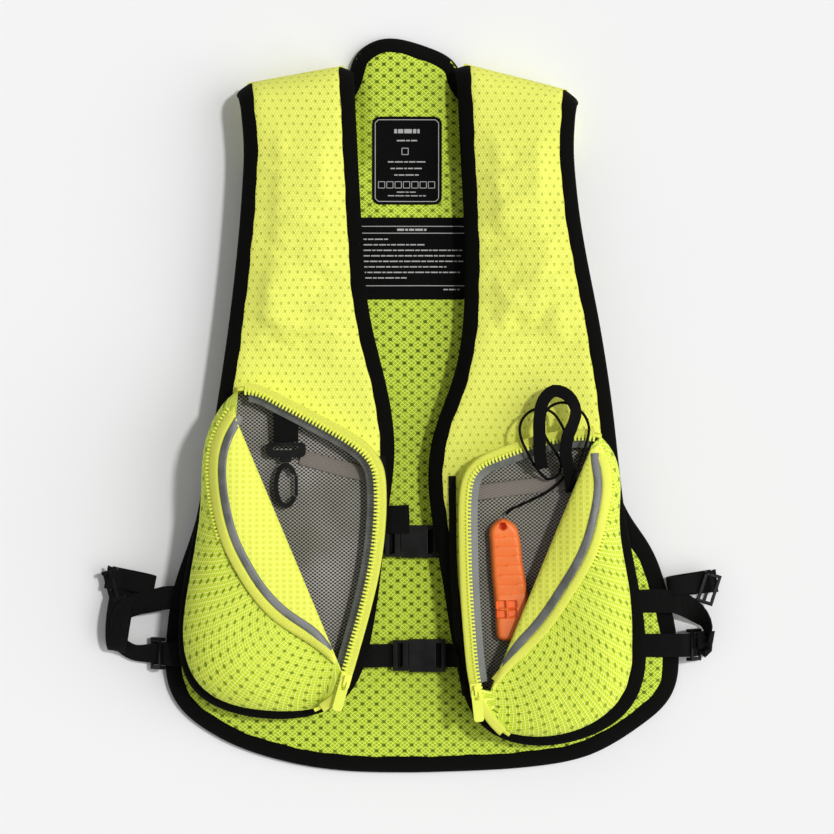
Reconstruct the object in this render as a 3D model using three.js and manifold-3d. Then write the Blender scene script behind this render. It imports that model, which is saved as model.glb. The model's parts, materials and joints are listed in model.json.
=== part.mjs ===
// A buoyancy vest lying flat on its back, in millimetres: +Z up, +Y towards the head end.
// The back panel lies below. Two front panels fold over at the shoulders and lie on top, each
// with a zipped pocket whose front is folded open. Webbing, buckles and sliders hold it closed.
import * as THREE from "three";
import { mergeVertices } from "three/addons/utils/BufferGeometryUtils.js";
import Module from "manifold-3d";

const wasm = await Module();
wasm.setup();

// Driving dimensions
const LENGTH = 601; // neck arch to hem
const WIDTH = 420; // back panel, across its widest part
const GAP = 0.3; // clearance between pieces that touch
const FABRIC = 1.5; // spacer mesh of the outer and inner faces
const LINING = 1.2; // lining of the front panels
const BACK_FOAM = 14;
const FRONT_FOAM = 12;
const CAVITY = 11.9; // room for the wearer between back and front, as it lies folded
const BINDING = 3; // binding tape, across the panel's edge
const POCKET_LINING = 1;
const POCKET_WALL = 1.6;
const POCKET_DEPTH = 20; // height of the pocket's zipped wall
const POCKET_BULGE = 16; // how far the pocket's front stands above a straight side
const FLAP_CLEARANCE = 1.2;
const FLAP_THICKNESS = 1.6;
const ZIP_WIDTH = 7;
const ZIP_THICKNESS = 1.6;
const WEBBING = 19; // width of the 20 mm class webbing
const WEBBING_THICKNESS = 1.6;
const BUCKLE = { width: 26.5, height: 9, female: 30, base: 13, prong: 13 };
const TRI_GLIDE = { length: 14, width: 26, bar: 2.6, rail: 2.8 };
const WHISTLE_THICKNESS = 12;
const CORD_DIAMETER = 2.2;

// Outlines are drawn for this pattern size and graded to the real one.
const PATTERN_LENGTH = 601;
const PATTERN_WIDTH = 420;
const grade = (x, y) => new THREE.Vector2((x * WIDTH) / PATTERN_WIDTH, (y * LENGTH) / PATTERN_LENGTH);

// Levels, stacked up from the floor
const BACK_TOP = 2 * FABRIC + 2 * GAP + BACK_FOAM;
const FRONT_LOW = BACK_TOP + CAVITY;
const FRONT_TOP = FRONT_LOW + LINING + FRONT_FOAM + FABRIC + 2 * GAP;
const POCKET_LOW = FRONT_TOP + GAP;
const POCKET_FLOOR = POCKET_LOW + POCKET_LINING;
const ZIP_LOW = POCKET_LOW + POCKET_DEPTH + GAP;
const ZIP_TOP = ZIP_LOW + ZIP_THICKNESS;
const FOLD_TOP = ZIP_TOP - 0.4; // top of the pocket's front along its fold
const BUCKLE_LEVEL = BACK_TOP + 2 * GAP + BUCKLE.height / 2;
const STRAP_LEVEL = BACK_TOP + GAP + WEBBING_THICKNESS / 2;

const finish = (color, roughness, metalness = 0) =>
  new THREE.MeshStandardMaterial({ color, roughness, metalness });
const NEON = finish(0xd8f53a, 0.75);
const FOAM = finish(0xe9e7dc, 0.95);
const BLACK = finish(0x121212, 0.8);
const PLASTIC = finish(0x191919, 0.45);
const GREY_MESH = finish(0x8c8884, 0.85);
const ZIP = finish(0xe4f64a, 0.5);
const LABEL = finish(0x1b1b1c, 0.6);
const ORANGE = finish(0xf0682c, 0.45);

const vest = new THREE.Group();
function add(name, geometry, material) {
  const mesh = new THREE.Mesh(geometry, material);
  mesh.name = name;
  vest.add(mesh);
}

// A smooth line through control points, as Vector2, with a number of steps to each stretch.
function smooth(points, steps = 2) {
  const curve = new THREE.CatmullRomCurve3(points.map((p) => new THREE.Vector3(p.x, p.y, 0)), false, "centripetal");
  return curve.getPoints(steps * (points.length - 1)).map((p) => new THREE.Vector2(p.x, p.y));
}

// Points at equal spacing along a line.
function spaced(line, count) {
  const curve = new THREE.CatmullRomCurve3(line.map((p) => new THREE.Vector3(p.x, p.y, 0)), false, "centripetal");
  return curve.getSpacedPoints(count - 1).map((p) => new THREE.Vector2(p.x, p.y));
}

// The same line moved to its left by a distance. The ends move along their own directions.
function inset(line, distance, startWay = null, endWay = null) {
  const last = line.length - 1;
  return line.map((p, i) => {
    if (i === 0 && startWay) return p.clone().addScaledVector(startWay, distance);
    if (i === last && endWay) return p.clone().addScaledVector(endWay, distance);
    const way = line[Math.min(i + 1, last)].clone().sub(line[Math.max(i - 1, 0)]).normalize();
    return new THREE.Vector2(p.x - way.y * distance, p.y + way.x * distance);
  });
}

// A strip between a line and the same line moved to its left.
const strip = (line, moved) => [...line, ...moved.slice().reverse()];

function plate(outline, low, high, holes = []) {
  const shape = new THREE.Shape(outline);
  shape.holes = holes.map((hole) => new THREE.Path(hole));
  const geometry = new THREE.ExtrudeGeometry(shape, { depth: high - low, bevelEnabled: false });
  return geometry.translate(0, 0, low);
}

// A rectangle with round corners about a centre.
function roundedRectangle(cx, cy, width, height, radius, steps = 3) {
  const points = [];
  const corners = [[1, 1], [-1, 1], [-1, -1], [1, -1]];
  corners.forEach(([sx, sy], corner) => {
    for (let i = 0; i <= steps; i++) {
      const angle = (Math.PI / 2) * (corner + i / steps);
      const x = cx + sx * (width / 2 - radius) + radius * Math.cos(angle);
      const y = cy + sy * (height / 2 - radius) + radius * Math.sin(angle);
      points.push(new THREE.Vector2(x, y));
    }
  });
  return points;
}

function box(x0, x1, y0, y1, z0, z1) {
  const geometry = new THREE.BoxGeometry(x1 - x0, y1 - y0, z1 - z0);
  return geometry.translate((x0 + x1) / 2, (y0 + y1) / 2, (z0 + z1) / 2);
}

// A closed geometry as a solid that can be joined and cut.
function solid(geometry) {
  const plain = geometry.clone();
  plain.deleteAttribute("normal");
  plain.deleteAttribute("uv");
  const merged = mergeVertices(plain, 1e-4);
  const vertProperties = merged.attributes.position.array;
  const triVerts = new Uint32Array(merged.index.array);
  return new wasm.Manifold(new wasm.Mesh({ numProp: 3, vertProperties, triVerts }));
}

function geometryOf(made) {
  const mesh = made.getMesh();
  const geometry = new THREE.BufferGeometry();
  geometry.setAttribute("position", new THREE.BufferAttribute(mesh.vertProperties, 3));
  geometry.setIndex(new THREE.BufferAttribute(mesh.triVerts, 1));
  const flat = geometry.toNonIndexed();
  flat.computeVertexNormals();
  return flat;
}

// The union of the first list without the union of the second.
function carve(kept, removed = []) {
  const whole = kept.map(solid).reduce((a, b) => a.add(b));
  return geometryOf(removed.map(solid).reduce((a, b) => a.subtract(b), whole));
}

// A closed solid through rings of equal point count, with a cap on each end ring.
function loft(rings) {
  const count = rings[0].length;
  const faces = [];
  for (let r = 0; r + 1 < rings.length; r++)
    for (let i = 0; i < count; i++) {
      const a = r * count + i;
      const b = r * count + ((i + 1) % count);
      faces.push([a, b, b + count], [a, b + count, a + count]);
    }
  const cap = (ring, offset, turned) => {
    const normal = new THREE.Vector3();
    ring.forEach((p, i) => normal.add(p.clone().cross(ring[(i + 1) % count])));
    normal.normalize();
    const across = ring[1].clone().sub(ring[0]).projectOnPlane(normal).normalize();
    const up = normal.clone().cross(across);
    const flat = ring.map((p) => new THREE.Vector2(p.dot(across), p.dot(up)));
    for (const [a, b, c] of THREE.ShapeUtils.triangulateShape(flat, []))
      faces.push(turned ? [a + offset, c + offset, b + offset] : [a + offset, b + offset, c + offset]);
  };
  cap(rings[0], 0, true);
  cap(rings[rings.length - 1], (rings.length - 1) * count, false);
  const points = rings.flat();
  const volume = faces.reduce((sum, [a, b, c]) => sum + points[a].dot(points[b].clone().cross(points[c])), 0);
  const index = faces.flatMap(([a, b, c]) => (volume < 0 ? [a, c, b] : [a, b, c]));
  const geometry = new THREE.BufferGeometry();
  geometry.setAttribute("position", new THREE.Float32BufferAttribute(points.flatMap((p) => [p.x, p.y, p.z]), 3));
  geometry.setIndex(index);
  geometry.computeVertexNormals();
  return geometry;
}

// Flat webbing along a route. Each stop is [x, y, z, wx, wy, wz]: a point and the width's direction.
function webbing(stops, width = WEBBING, thickness = WEBBING_THICKNESS, steps = 3) {
  const through = (from) =>
    new THREE.CatmullRomCurve3(stops.map((s) => new THREE.Vector3(...s.slice(from, from + 3))), false, "centripetal");
  const route = through(0);
  const count = steps * (stops.length - 1);
  const ways = stops.map((s) => new THREE.Vector3(...s.slice(3, 6)).normalize());
  const rings = [];
  for (let i = 0; i <= count; i++) {
    const t = i / count;
    const place = route.getPoint(t);
    const forward = route.getTangent(t);
    const stop = Math.min(Math.floor(t * (stops.length - 1)), stops.length - 2);
    const across = ways[stop].clone().lerp(ways[stop + 1], t * (stops.length - 1) - stop);
    across.projectOnPlane(forward).normalize().multiplyScalar(width / 2);
    const up = forward.clone().cross(across).normalize().multiplyScalar(thickness / 2);
    rings.push([
      place.clone().add(across).add(up),
      place.clone().sub(across).add(up),
      place.clone().sub(across).sub(up),
      place.clone().add(across).sub(up),
    ]);
  }
  return loft(rings);
}

// ---- Hinge lines of the front panels: each runs down its side, and the shoulder cut is square to it.
const HINGE_TOP = grade(140, 258);
const HINGE_LOW = grade(194, -201);
const CUT_OUTER = grade(134, 209);
const hingeWay = HINGE_LOW.clone().sub(HINGE_TOP).normalize();
const cutSlope = -hingeWay.x / hingeWay.y; // rise towards the arm for each unit outwards
const onCut = (x) => new THREE.Vector2(x, CUT_OUTER.y + (Math.abs(x) - CUT_OUTER.x) * cutSlope);
const cutInwards = (side) => new THREE.Vector2(-side, -cutSlope).normalize();

// ---- Outlines of one side, from the shoulder cut round the panel, with the panel on the left hand.
const gradeAll = (points) => points.map(([x, y]) => grade(x, y));
const LEFT = {
  name: "left",
  side: -1,
  edge: smooth([
    onCut(grade(-134, 0).x),
    ...gradeAll([
      [-138, 146], [-146, 71], [-155, 8], [-163, -40], [-172, -87], [-181, -130], [-187, -165], [-188, -200],
      [-181, -228], [-164, -243], [-132, -253], [-96, -255], [-64, -247], [-47, -232], [-37, -205], [-29, -164],
      [-24, -120], [-21, -95], [-17, -66], [-14, -38], [-18, 0], [-25, 30], [-36, 75], [-41, 137],
    ]),
    onCut(grade(-44.5, 0).x),
  ]),
  zip: gradeAll([
    [-146, 8], [-137, 13], [-126, 13], [-108, 4], [-79, -11], [-55, -24], [-36, -37], [-27, -49], [-25, -66],
    [-25, -90], [-29, -129], [-38, -169], [-46, -197], [-53, -222], [-60, -237],
  ]),
  pocket: gradeAll([
    [-146, 8], [-156, -4], [-164, -20], [-169, -40], [-170, -62], [-171, -87], [-175, -115], [-180, -144],
    [-184, -169], [-185, -192], [-181, -212], [-171, -229], [-153, -241], [-130, -247], [-102, -249], [-79, -247],
    [-60, -237],
  ]),
  fold: gradeAll([[-141, -12], [-60, -205]]),
  flapReach: [0.6, 0.86, 0.86, 0.7, 0.5, 0.37, 0.27, 0.17, 0.08],
  organiser: gradeAll([
    [-126, -36], [-33, -63], [-33, -90], [-36, -129], [-45, -169], [-60, -200], [-80, -232], [-130, -236],
    [-168, -212], [-174, -180], [-162, -90], [-150, -50],
  ]),
  slider: { at: grade(-53, -222), way: grade(15, 53).normalize() },
};
const RIGHT = {
  name: "right",
  side: 1,
  edge: smooth([
    onCut(grade(41.5, 0).x),
    ...gradeAll([
      [44, 150], [45, 110], [44, 71], [39, 32], [30, 5], [20, -20], [15, -45], [15, -70], [20, -105], [27, -144],
      [33, -185], [39, -217], [46, -245], [60, -264], [80, -274], [110, -277], [140, -271], [165, -259], [183, -240],
      [190, -212], [188, -175], [180, -130], [172, -88], [167, -46], [162, 0], [152, 65], [143, 110], [135, 156],
    ]),
    onCut(grade(130, 0).x),
  ]),
  zip: gradeAll([
    [152, -25], [134, -24], [114, -27], [93, -32], [73, -40], [54, -47], [46, -56], [43, -78], [43, -103],
    [44, -144], [47, -190], [51, -226], [56, -240], [62, -250],
  ]),
  pocket: gradeAll([
    [152, -25], [161, -33], [167, -46], [170, -62], [169, -82], [169, -103], [173, -128], [177, -150], [179, -175],
    [179, -198], [177, -218], [171, -237], [157, -252], [138, -263], [114, -269], [90, -269], [72, -263],
    [62, -250],
  ]),
  fold: gradeAll([[145, -33], [66, -224]]),
  flapReach: [0.6, 0.82, 0.72, 0.52, 0.36, 0.27, 0.2, 0.12, 0.06],
  organiser: gradeAll([
    [49, -81], [156, -52], [162, -80], [166, -150], [170, -200], [160, -240], [110, -260], [75, -252], [60, -228],
    [55, -200], [50, -144],
  ]),
  slider: { at: grade(52, -230), way: grade(-4, 36).normalize() },
};

// ---- Back panel: outer mesh, foam and inner mesh inside one binding, with the neck between the shoulders.
const HEM = smooth([
  onCut(grade(-129, 0).x),
  ...gradeAll([
    [-128, 184], [-136, 106], [-147, 36], [-160, -29], [-174, -91], [-184, -122], [-194, -150], [-200, -195],
    [-200, -228], [-188, -251], [-165, -268], [-140, -281], [-90, -295], [-40, -300.5], [48, -299.5], [110, -295],
    [150, -286], [194, -258], [212, -242], [219, -218], [215, -180], [207, -147], [196, -117], [178, -93],
    [168, -70], [159, -20], [148, 45], [134, 102], [123, 156], [120, 184],
  ]),
  onCut(grade(125, 0).x),
]);
const NECK_SIDE = { left: grade(-44, 0).x, right: grade(41, 0).x };
const NECK_ARCH = smooth(gradeAll([
  [38, 281], [26, 287], [10, 293], [-6, 298], [-22, 300.5], [-36, 295], [-46, 287], [-50, 279],
]));

function backPanel() {
  const band = inset(HEM, BINDING, cutInwards(-1), cutInwards(1));
  const edge = inset(HEM, BINDING + GAP, cutInwards(-1), cutInwards(1));
  const arch = inset(NECK_ARCH, BINDING + GAP);
  const outline = [...edge, onCut(NECK_SIDE.right), ...arch, onCut(NECK_SIDE.left)];
  const foamLow = FABRIC + GAP;
  const foamTop = foamLow + BACK_FOAM;
  add("back_outer_shell", plate(outline, 0, FABRIC), NEON);
  add("back_foam", plate(outline, foamLow, foamTop), FOAM);
  add("back_inner_mesh", plate(outline, foamTop + GAP, BACK_TOP), NEON);
  add("back_binding", plate(strip(HEM, band), FABRIC / 2, BACK_TOP), BLACK);
  add("neck_binding", plate(strip(NECK_ARCH, inset(NECK_ARCH, BINDING)), FABRIC / 2, BACK_TOP), BLACK);
}

// The labels are sewn to the back's inner face, below the neck.
const LABEL_THICKNESS = 0.6;
const CARE_LABEL = { at: grade(-3.5, 199), width: 57, height: 72, corner: 5 };
const WARNING_LABEL = { at: grade(0.5, 119), width: 91, height: 67, corner: 2 };
function label(name, { at, width, height, corner }) {
  const low = BACK_TOP + GAP;
  add(name, plate(roundedRectangle(at.x, at.y, width, height, corner), low, low + LABEL_THICKNESS), LABEL);
}

// ---- Shoulder pad: the padded fabric that turns over from the back to the front, open inside.
function shoulder(name, outerFoot, outerTop, innerFoot, innerTop) {
  const middle = (BACK_TOP + FRONT_LOW) / 2;
  const outerRadius = middle - GAP;
  const innerRadius = (FRONT_LOW - BACK_TOP) / 2;
  const steps = 6;
  const ring = (foot, top) => {
    const profile = [[foot.y, middle - outerRadius]];
    for (let i = 0; i <= steps; i++) {
      const angle = Math.PI * (i / steps - 0.5);
      profile.push([top.y - outerRadius + outerRadius * Math.cos(angle), middle + outerRadius * Math.sin(angle)]);
    }
    profile.push([foot.y, middle + outerRadius], [foot.y, middle + innerRadius]);
    for (let i = 0; i <= steps; i++) {
      const angle = Math.PI * (0.5 - i / steps);
      profile.push([top.y - outerRadius + innerRadius * Math.cos(angle), middle + innerRadius * Math.sin(angle)]);
    }
    profile.push([foot.y, middle - innerRadius]);
    const lean = (top.x - foot.x) / (top.y - foot.y);
    return profile.map(([y, z]) => new THREE.Vector3(foot.x + (y - foot.y) * lean, y, z));
  };
  add(name, loft([ring(outerFoot, outerTop), ring(innerFoot, innerTop)]), NEON);
}
function shoulders() {
  const above = (x) => onCut(x).add(new THREE.Vector2(0, 2 * GAP));
  const neck = 2 * GAP;
  const left = NECK_SIDE.left - neck;
  const right = NECK_SIDE.right + neck;
  shoulder("left_shoulder_pad", above(grade(-134, 0).x), grade(-139, 263), above(left), grade(-51, 279));
  shoulder("right_shoulder_pad", above(grade(130, 0).x), grade(133, 257), above(right), grade(39, 281));
}

// ---- Front panel of one side: lining, foam and outer mesh inside the edge binding.
function frontPanel({ name, side, edge }) {
  const inwards = cutInwards(side);
  const ends = side < 0 ? [inwards, inwards.clone().negate()] : [inwards.clone().negate(), inwards];
  const inner = inset(edge, BINDING + GAP, ...ends);
  const foamLow = FRONT_LOW + LINING + GAP;
  const foamTop = foamLow + FRONT_FOAM;
  add(name + "_front_lining", plate(inner, FRONT_LOW, FRONT_LOW + LINING), NEON);
  add(name + "_front_foam", plate(inner, foamLow, foamTop), FOAM);
  add(name + "_front_shell", plate(inner, foamTop + GAP, FRONT_TOP), NEON);
  add(name + "_front_binding", plate(strip(edge, inset(edge, BINDING, ...ends)), FRONT_LOW, FRONT_TOP), BLACK);
}

// ---- Pocket front: a shell from the pocket's seam up and over to the fold line.
const STATIONS = 25;
const RISE = FOLD_TOP - POCKET_LOW;
// Height over the front panel at a share c of the way from the fold to the seam, at station share s.
const pocketHeight = (c, s, drop = 0) =>
  POCKET_LOW + Math.sqrt(1 - c * c) * (RISE - drop + 2 * POCKET_BULGE * Math.sin(Math.PI * s) * c);

function pocketLines({ side, pocket, fold }) {
  const seam = spaced(smooth(pocket), STATIONS);
  const inner = inset(seam, -side * POCKET_WALL);
  const crest = seam.map((_, i) => fold[0].clone().lerp(fold[1], i / (STATIONS - 1)));
  return { seam, inner, crest };
}

function pocketShell(part) {
  const { seam, inner, crest } = pocketLines(part);
  const steps = 5;
  const rings = seam.map((_, i) => {
    const s = i / (STATIONS - 1);
    const row = (foot, drop) =>
      Array.from({ length: steps + 1 }, (_, k) => {
        const c = Math.cos((k / steps) * (Math.PI / 2));
        const p = crest[i].clone().lerp(foot, c);
        return new THREE.Vector3(p.x, p.y, pocketHeight(Math.min(c, 1), s, drop));
      });
    return [...row(seam[i], 0), ...row(inner[i], POCKET_WALL).reverse()];
  });
  const zipLine = smooth(part.zip);
  const outside = inset(zipLine, POCKET_WALL / 2);
  const wall = plate(strip(inset(zipLine, -POCKET_WALL / 2), outside), POCKET_LOW, POCKET_LOW + POCKET_DEPTH);
  add(part.name + "_pocket_shell", carve([loft(rings), wall]), NEON);

  const around = [...smooth(part.pocket), ...smooth(part.zip).slice(1, -1).reverse()];
  const room = POCKET_WALL + 4 * GAP;
  const floor = around.map((p, i) => {
    const before = around[(i + around.length - 1) % around.length];
    const way = around[(i + 1) % around.length].clone().sub(before).normalize();
    return new THREE.Vector2(p.x + part.side * way.y * room, p.y - part.side * way.x * room);
  });
  add(part.name + "_pocket_lining", plate(floor, POCKET_LOW, POCKET_FLOOR), GREY_MESH);
  const organiserLow = POCKET_FLOOR + GAP;
  add(part.name + "_organiser", plate(part.organiser, organiserLow, organiserLow + 1.2), GREY_MESH);
}

// The pocket front's corner, folded open and lying on the pocket, with its half of the zip.
function flap(part) {
  const { seam, crest } = pocketLines(part);
  const reach = (s) => {
    const place = s * (part.flapReach.length - 1);
    const low = Math.min(Math.floor(place), part.flapReach.length - 2);
    return THREE.MathUtils.lerp(part.flapReach[low], part.flapReach[low + 1], place - low);
  };
  const steps = 6;
  const rings = [];
  for (let i = 1; i < STATIONS - 1; i++) {
    const s = i / (STATIONS - 1);
    const row = (lift) =>
      Array.from({ length: steps + 1 }, (_, k) => {
        const c = (k / steps) * reach(s);
        const p = crest[i].clone().lerp(seam[i], c);
        return new THREE.Vector3(p.x, p.y, pocketHeight(c, s) + FLAP_CLEARANCE + lift);
      });
    rings.push([...row(0), ...row(FLAP_THICKNESS).reverse()]);
  }
  add(part.name + "_flap", loft(rings), NEON);
}

// ---- Zip: the body-side tape on the pocket's wall, its slider and the slider's pull.
const SLIDER = { length: 11, width: 9, height: 4, arch: 4.2, archLength: 8, archWidth: 2.2, bar: 1.6 };
const PULL = { length: 26, width: 8, thickness: 1.6, slot: 3.6, slotLength: 7 };
function zip(part) {
  const line = smooth(part.zip, 2).slice(1, -2);
  const stops = line.map((p, i) => {
    const way = line[Math.min(i + 1, line.length - 1)].clone().sub(line[Math.max(i - 1, 0)]);
    return [p.x, p.y, ZIP_LOW + ZIP_THICKNESS / 2, -way.y, way.x, 0];
  });
  add(part.name + "_zip_tape", webbing(stops, ZIP_WIDTH, ZIP_THICKNESS, 1), ZIP);

  const { at, way } = part.slider;
  const turn = Math.atan2(way.y, way.x);
  const place = (geometry) => geometry.rotateZ(turn).translate(at.x, at.y, ZIP_TOP + GAP);
  const half = SLIDER.archLength / 2;
  const archTop = SLIDER.height + SLIDER.arch;
  const body = carve(
    [
      box(-SLIDER.length / 2, SLIDER.length / 2, -SLIDER.width / 2, SLIDER.width / 2, 0, SLIDER.height),
      box(-half, half, -SLIDER.archWidth / 2, SLIDER.archWidth / 2, SLIDER.height - 0.5, archTop),
    ],
    [box(-half + 1.4, half - 1.4, -SLIDER.width, SLIDER.width, SLIDER.height, archTop - SLIDER.bar)],
  );
  add(part.name + "_zip_slider", place(body), ZIP);
  const barHalf = PULL.thickness / 2;
  const tab = roundedRectangle(barHalf - PULL.length / 2, 0, PULL.length, PULL.width, 2.2);
  const slotMiddle = -barHalf - PULL.slotLength / 2;
  const slot = roundedRectangle(slotMiddle, 0, PULL.slotLength, PULL.slot, 0.6);
  const low = SLIDER.height + (SLIDER.arch - SLIDER.bar) / 2 - PULL.thickness / 2;
  add(part.name + "_zip_pull", place(plate(tab, low, low + PULL.thickness, [slot])), ZIP);
}

// ---- Side-release buckle: the female on the right panel, the male with two sprung prongs on the left.
const BUCKLES = [
  { name: "upper_buckle", mouth: grade(-8.6, -112), reachLeft: grade(-62, 0).x, reachRight: grade(62, 0).x },
  { name: "lower_buckle", mouth: grade(-2, -205), reachLeft: grade(-78, 0).x, reachRight: grade(78, 0).x },
];
function buckle({ name, mouth, reachLeft, reachRight }) {
  const place = (geometry) => geometry.translate(mouth.x, mouth.y, BUCKLE_LEVEL);
  const w = BUCKLE.width / 2;
  const h = BUCKLE.height / 2;
  const wall = 1.6;
  const side = 2.65;
  const slotWidth = WEBBING / 2 + 0.6;
  const cavity = BUCKLE.prong + 4;
  const female = carve(
    [box(0, BUCKLE.female, -w, w, -h, h)],
    [
      box(-1, cavity, -w + side, w - side, -h + wall, h - wall),
      box(4, BUCKLE.prong, -w - 1, w + 1, -h + wall, h - wall),
      box(BUCKLE.female - 8, BUCKLE.female - 3.5, -slotWidth, slotWidth, -h - 1, h + 1),
    ],
  );
  add(name + "_female", place(female), PLASTIC);
  const back = -BUCKLE.base;
  const front = -0.4;
  const male = carve(
    [
      box(back, front, -w + 0.8, w - 0.8, -h + 0.3, h - 0.3),
      box(front - 1, BUCKLE.prong - 1, -2.2, 2.2, -2.2, 2.2),
    ],
    [box(back + 3.5, back + 8, -slotWidth, slotWidth, -h - 1, h + 1)],
  );
  add(name + "_male", place(male), PLASTIC);
  for (const [letter, way] of [["a", 1], ["b", -1]]) {
    const inner = 5.4;
    const spring = inner + 2.4;
    const barb = w - side - GAP;
    const outline = [
      [front + GAP, inner], [BUCKLE.prong - 1.5, inner], [BUCKLE.prong, inner + 1.4], [BUCKLE.prong - 2, barb],
      [BUCKLE.prong - 7.5, barb], [BUCKLE.prong - 8, spring], [front + GAP, spring],
    ].map(([x, y]) => new THREE.Vector2(x, y * way));
    add(`${name}_prong_${letter}`, place(plate(outline, -2.4, 2.4)), PLASTIC);
  }
  const high = FRONT_LOW - GAP - WEBBING_THICKNESS / 2;
  const strap = (from, to) => {
    const way = Math.sign(to - from);
    return webbing([
      [from, mouth.y, BUCKLE_LEVEL, 0, 1, 0], [from + 4 * way, mouth.y, BUCKLE_LEVEL + 0.6, 0, 1, 0],
      [from + 15 * way, mouth.y, high - 0.4, 0, 1, 0], [from + 19 * way, mouth.y, high, 0, 1, 0],
      [to, mouth.y, high, 0, 1, 0],
    ], WEBBING, WEBBING_THICKNESS, 2);
  };
  add(name + "_left_webbing", strap(mouth.x + back - GAP, reachLeft), BLACK);
  add(name + "_right_webbing", strap(mouth.x + BUCKLE.female + GAP, reachRight), BLACK);
}

// ---- Side adjustment: an upper strap curving down, a lower strap and a tail, each with a tri-glide.
function triGlide() {
  const { length, width, bar, rail } = TRI_GLIDE;
  const half = WEBBING_THICKNESS / 2 + GAP;
  const outer = half + 1.6;
  const inside = width / 2 - rail;
  return carve([
    box(-length / 2, length / 2, inside, width / 2, -outer, outer),
    box(-length / 2, length / 2, -width / 2, -inside, -outer, outer),
    box(-length / 2, -length / 2 + bar, -inside - 1, inside + 1, half, outer),
    box(length / 2 - bar, length / 2, -inside - 1, inside + 1, half, outer),
    box(-bar / 2, bar / 2, -inside - 1, inside + 1, -outer, -half),
  ]);
}
function sideStraps(name, side, { hemX, upperY, lowerX, lowerY, tailGap }) {
  const flat = [0, 1, 0];
  const at = (x, y) => {
    const p = grade(side * x, y);
    return [p.x, p.y];
  };
  add(name + "_upper_strap", webbing([
    [...at(178, upperY), STRAP_LEVEL, ...flat], [...at(hemX - 4, upperY), STRAP_LEVEL, ...flat],
    [...at(hemX + 4, upperY - 1), STRAP_LEVEL, side * 0.1, 1, 0.05],
    [...at(232, upperY - 9), 15, side * 0.5, 0.7, 0.5],
    [...at(242, upperY - 21), 12, side * 0.3, 0.2, 0.9], [...at(243, upperY - 33), 11, 0, 0, 1],
  ]), BLACK);
  const drop = { x: lowerX + 10, z: WEBBING_THICKNESS + 1 };
  add(name + "_lower_strap", webbing([
    [...at(178, lowerY), STRAP_LEVEL, ...flat], [...at(lowerX - 14, lowerY), STRAP_LEVEL + 2, ...flat],
    [...at(lowerX - 4, lowerY), STRAP_LEVEL + 1.5, ...flat], [...at(lowerX, lowerY), STRAP_LEVEL - 2, ...flat],
    [...at(drop.x - 1, lowerY), drop.z + 3, ...flat], [...at(drop.x, lowerY), drop.z, ...flat],
  ]), BLACK);
  const lowerGlide = triGlide();
  const fall = Math.atan2(STRAP_LEVEL - 5 - drop.z, drop.x - 1 - lowerX);
  const middleX = side * (lowerX + drop.x - 1) * 0.5 * (WIDTH / PATTERN_WIDTH);
  lowerGlide.rotateY(side > 0 ? fall : -fall).translate(middleX, at(0, lowerY)[1], (STRAP_LEVEL + drop.z + 1) / 2);
  add(name + "_lower_adjuster", lowerGlide, PLASTIC);

  const tailStart = new THREE.Vector3(...at(212, upperY + tailGap), 18.2);
  const tailEnd = new THREE.Vector3(...at(250, upperY + 8), 13.5);
  const tailWay = tailEnd.clone().sub(tailStart).normalize();
  const across = new THREE.Vector3(-tailWay.y, tailWay.x, 0).normalize().multiplyScalar(side);
  add(name + "_strap_tail", webbing([
    [...tailStart.toArray(), ...across.toArray()], [...tailEnd.toArray(), ...across.toArray()],
  ]), BLACK);
  const upperGlide = triGlide();
  const middle = tailStart.clone().lerp(tailEnd, 0.82);
  const frame = new THREE.Matrix4().makeBasis(tailWay, across, tailWay.clone().cross(across)).setPosition(middle);
  add(name + "_upper_adjuster", upperGlide.applyMatrix4(frame), PLASTIC);
}

// ---- Key clip in the left pocket: webbing tab, swivel eye, oval hook and its gate.
const CLIP = { at: grade(-101, -31), level: POCKET_FLOOR + 9, tab: 20 };
function keyClip() {
  const { x, y } = CLIP.at;
  const z = CLIP.level;
  const tabTop = y + 24.7;
  add("key_tab", webbing([
    [x, tabTop, z + 3, 1, 0, 0], [x, tabTop - 10, z + 2, 1, 0, 0], [x, y + GAP, z, 1, 0, 0],
  ], CLIP.tab), BLACK);
  const eye = carve([
    plate(roundedRectangle(x, y - 6, 32, 12, 4), z - 3, z + 3),
    plate(roundedRectangle(x, y - 13, 9, 6, 2), z - 2.5, z + 2.5),
  ], [plate(roundedRectangle(x, y - 4.5, 21, 3.4, 1), z - 4, z + 4)]);
  add("key_clip_eye", eye, PLASTIC);
  const middle = y - 34.9;
  const ellipse = (rx, ry, count = 24) =>
    Array.from({ length: count }, (_, i) => {
      const angle = (i / count) * 2 * Math.PI;
      return new THREE.Vector2(x + rx * Math.cos(angle), middle + ry * Math.sin(angle));
    });
  const loop = plate(ellipse(10, 18.5), z - 2.4, z + 2.4, [ellipse(6.2, 14.4)]);
  const mouthCut = box(x + 3, x + 14, middle - 8.6, middle + 8.6, z - 4, z + 4);
  add("key_hook", carve([loop], [mouthCut]), PLASTIC);
  const gate = box(x + 7.1, x + 9.6, middle - 8.2, middle + 8.2, z - 1.8, z + 1.8);
  add("key_hook_gate", carve([gate]), PLASTIC);
}

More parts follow.
